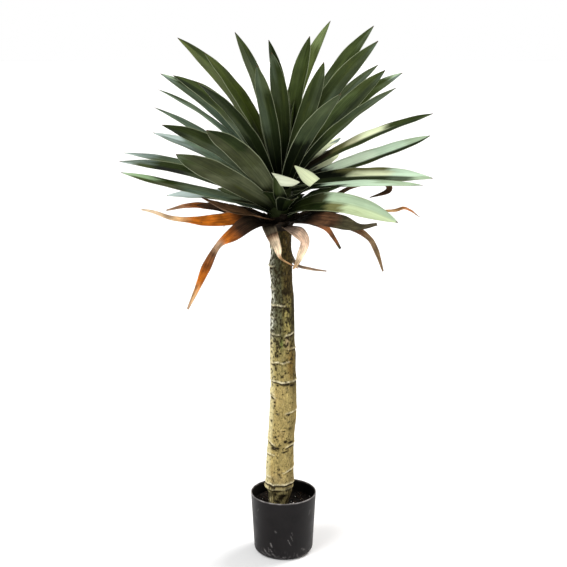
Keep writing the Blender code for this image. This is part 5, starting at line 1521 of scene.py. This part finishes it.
def dry_material():
    mat, shader = start_material("dry_leaf", 0.08)
    u, _, face = attribute(shader, "blade").split()
    flow = attribute(shader, "flow")
    paint = attribute(shader, "paint", "Color")
    veins = flow.grain((1700.0, 18.0, 7.0), 3.0)
    stripes = flow.grain((420.0, 9.0, 7.0), 3.0)
    clouds = flow.grain((70.0, 34.0, 7.0), 4.0)
    spots = flow.grain((190.0, 90.0, 3.0))
    tone = veins.remap(0.25, 0.75, 0.78, 1.22) * stripes.remap(0.28, 0.72, 0.62, 1.38)
    bright = paint.split()[0].remap(0.02, 0.30, 0.05, 1.0)
    colour = scaled(paint, tone * clouds.remap(0.28, 0.72, 0.55, 1.40))
    colour = blend(abs(u).remap(0.80, 1.0, 0.0, 0.40) * bright, colour, "dry_margin")
    colour = blend(face * 0.25 * bright, colour, "dry_lower_face")
    colour = blend(spots.remap(0.64, 0.72, 0.0, 0.6), colour, "dry_spot")
    roughness = clouds.remap(0.3, 0.7, 0.62, 0.86)
    finish_material(shader, colour, roughness, ((stripes, 0.6, 0.0010), (veins, 0.5, 0.0004)))
    return mat


def bark_material():
    mat, shader = start_material("yucca_bark", 0.04)
    place = object_place(shader)
    fibre = place.grain((900.0, 900.0, 90.0), 3.0)
    fleck = place.grain((520.0, 520.0, 260.0), 3.0)
    tone = fibre.remap(0.25, 0.75, 0.72, 1.28) * fleck.remap(0.28, 0.72, 0.70, 1.30)
    colour = scaled(attribute(shader, "paint", "Color"), tone)
    colour = blend(place.grain(95.0, 4.0).remap(0.58, 0.76, 0.0, 0.16), colour, "bark_dust")
    roughness = fleck.remap(0.3, 0.7, 0.62, 0.88)
    finish_material(shader, colour, roughness, ((fleck, 0.6, 0.0012), (fibre, 0.6, 0.0007)))
    return mat


def soil_material():
    mat, shader = start_material("potting_soil", 0.06)
    place = object_place(shader)
    fine = place.grain(900.0, 4.0, 0.7)
    coarse = place.grain(160.0, 3.0)
    tone = fine.remap(0.3, 0.7, 0.6, 1.5) * coarse.remap(0.3, 0.7, 0.7, 1.3)
    colour = scaled(attribute(shader, "paint", "Color"), tone)
    roughness = coarse.remap(0.3, 0.7, 0.82, 0.98)
    finish_material(shader, colour, roughness, ((fine, 0.8, 0.0010), (coarse, 0.5, 0.0020)))
    return mat


def pot_material():
    mat, shader = start_material("black_nursery_plastic", 0.14)
    place = object_place(shader)
    wear, rim, outside = attribute(shader, "blade").split()
    clouds = place.grain(26.0, 4.0)
    fine = place.grain(1400.0)
    rubs = place.stretched((1.0, 1.0, 0.25)).grain(210.0, 4.0, 0.65)
    foot = place.split()[2].remap(0.002, 0.050, 0.60, 0.0)
    colour = blend(clouds.remap(0.3, 0.7), "pot_dark", "pot_light")
    # Painted shade inside the pot
    colour = blend(outside, "pot_inside_shade", colour)
    colour = blend(foot * outside * rubs.remap(0.50, 0.74), colour, "pot_dust")
    colour = blend(rubs.remap(0.60, 0.88, 0.0, 0.06), colour, "pot_haze")
    colour = blend(wear, colour, "pot_scuff")
    # Painted highlight along the rim
    colour = blend(rim * 0.55, colour, "pot_rim_highlight")
    roughness = clouds.remap(0.3, 0.7, 0.38, 0.50) + wear * 0.3
    finish_material(shader, colour, roughness, ((clouds, 0.20, 0.0015), (fine, 0.12, 0.0002)))
    return mat


def floor_material():
    mat, shader = start_material("studio_floor", 0.10)
    tone = object_place(shader).grain(3.0, 3.0)
    colour = blend(tone.remap(0.3, 0.7), "floor_low", "floor_high")
    finish_material(shader, colour, tone.remap(0.3, 0.7, 0.80, 0.90), ((tone, 0.05, 0.001),))
    return mat


def make_floor():
    mesh = bpy.data.meshes.new("studio_floor")
    turn = full_turn(FLOOR_SIDES)
    points = [(FLOOR_RADIUS * math.sin(a), FLOOR_RADIUS * math.cos(a), FLOOR_HEIGHT) for a in turn]
    mesh.from_pydata(points, [], [tuple(reversed(range(FLOOR_SIDES)))])
    mesh.materials.append(floor_material())
    floor = put("studio_floor", mesh)


def make_lights():
    for name, energy, angle, (x, y, z), colour in LIGHTS:
        lamp = bpy.data.lights.new(name, "SUN")
        lamp.color = colour
        lamp.energy = energy
        lamp.angle = math.radians(angle)
        turn = (math.atan2(math.hypot(x, y), z), 0.0, math.atan2(x, -y))
        put(name, lamp).rotation_euler = turn


def make_world():
    """A soft dome, white at the horizon and dimmer above."""
    world = bpy.data.worlds.new("soft_studio")
    world.use_nodes = True
    tree = world.node_tree
    up = Value(node(tree, "TexCoord").outputs["Generated"]).split()[2]
    colour = scaled((1.0, 1.0, 1.0), up.remap(*DOME))
    tree.links.new(colour.output, tree.nodes["Background"].inputs["Color"])
    bpy.context.scene.world = world


def make_camera():
    lens = bpy.data.cameras.new("photo_camera")
    lens.lens = CAMERA_LENS
    lens.sensor_width = SENSOR_WIDTH
    camera = put("photo_camera", lens)
    camera.location = CAMERA_PLACE
    camera.rotation_euler = (math.radians(90.0 - CAMERA_DOWN), 0.0, 0.0)
    bpy.context.scene.camera = camera


def main():
    leaf = green_material()
    dry = dry_material()
    make_green_leaves(leaf)
    make_crown_core(leaf)
    make_dry_leaves(dry)
    make_collar(dry)
    make_trunk(bark_material())
    make_soil(soil_material())
    make_pot(pot_material())
    make_floor()
    make_lights()
    make_world()
    make_camera()
    bpy.context.scene.view_settings.view_transform = "Standard"


main()
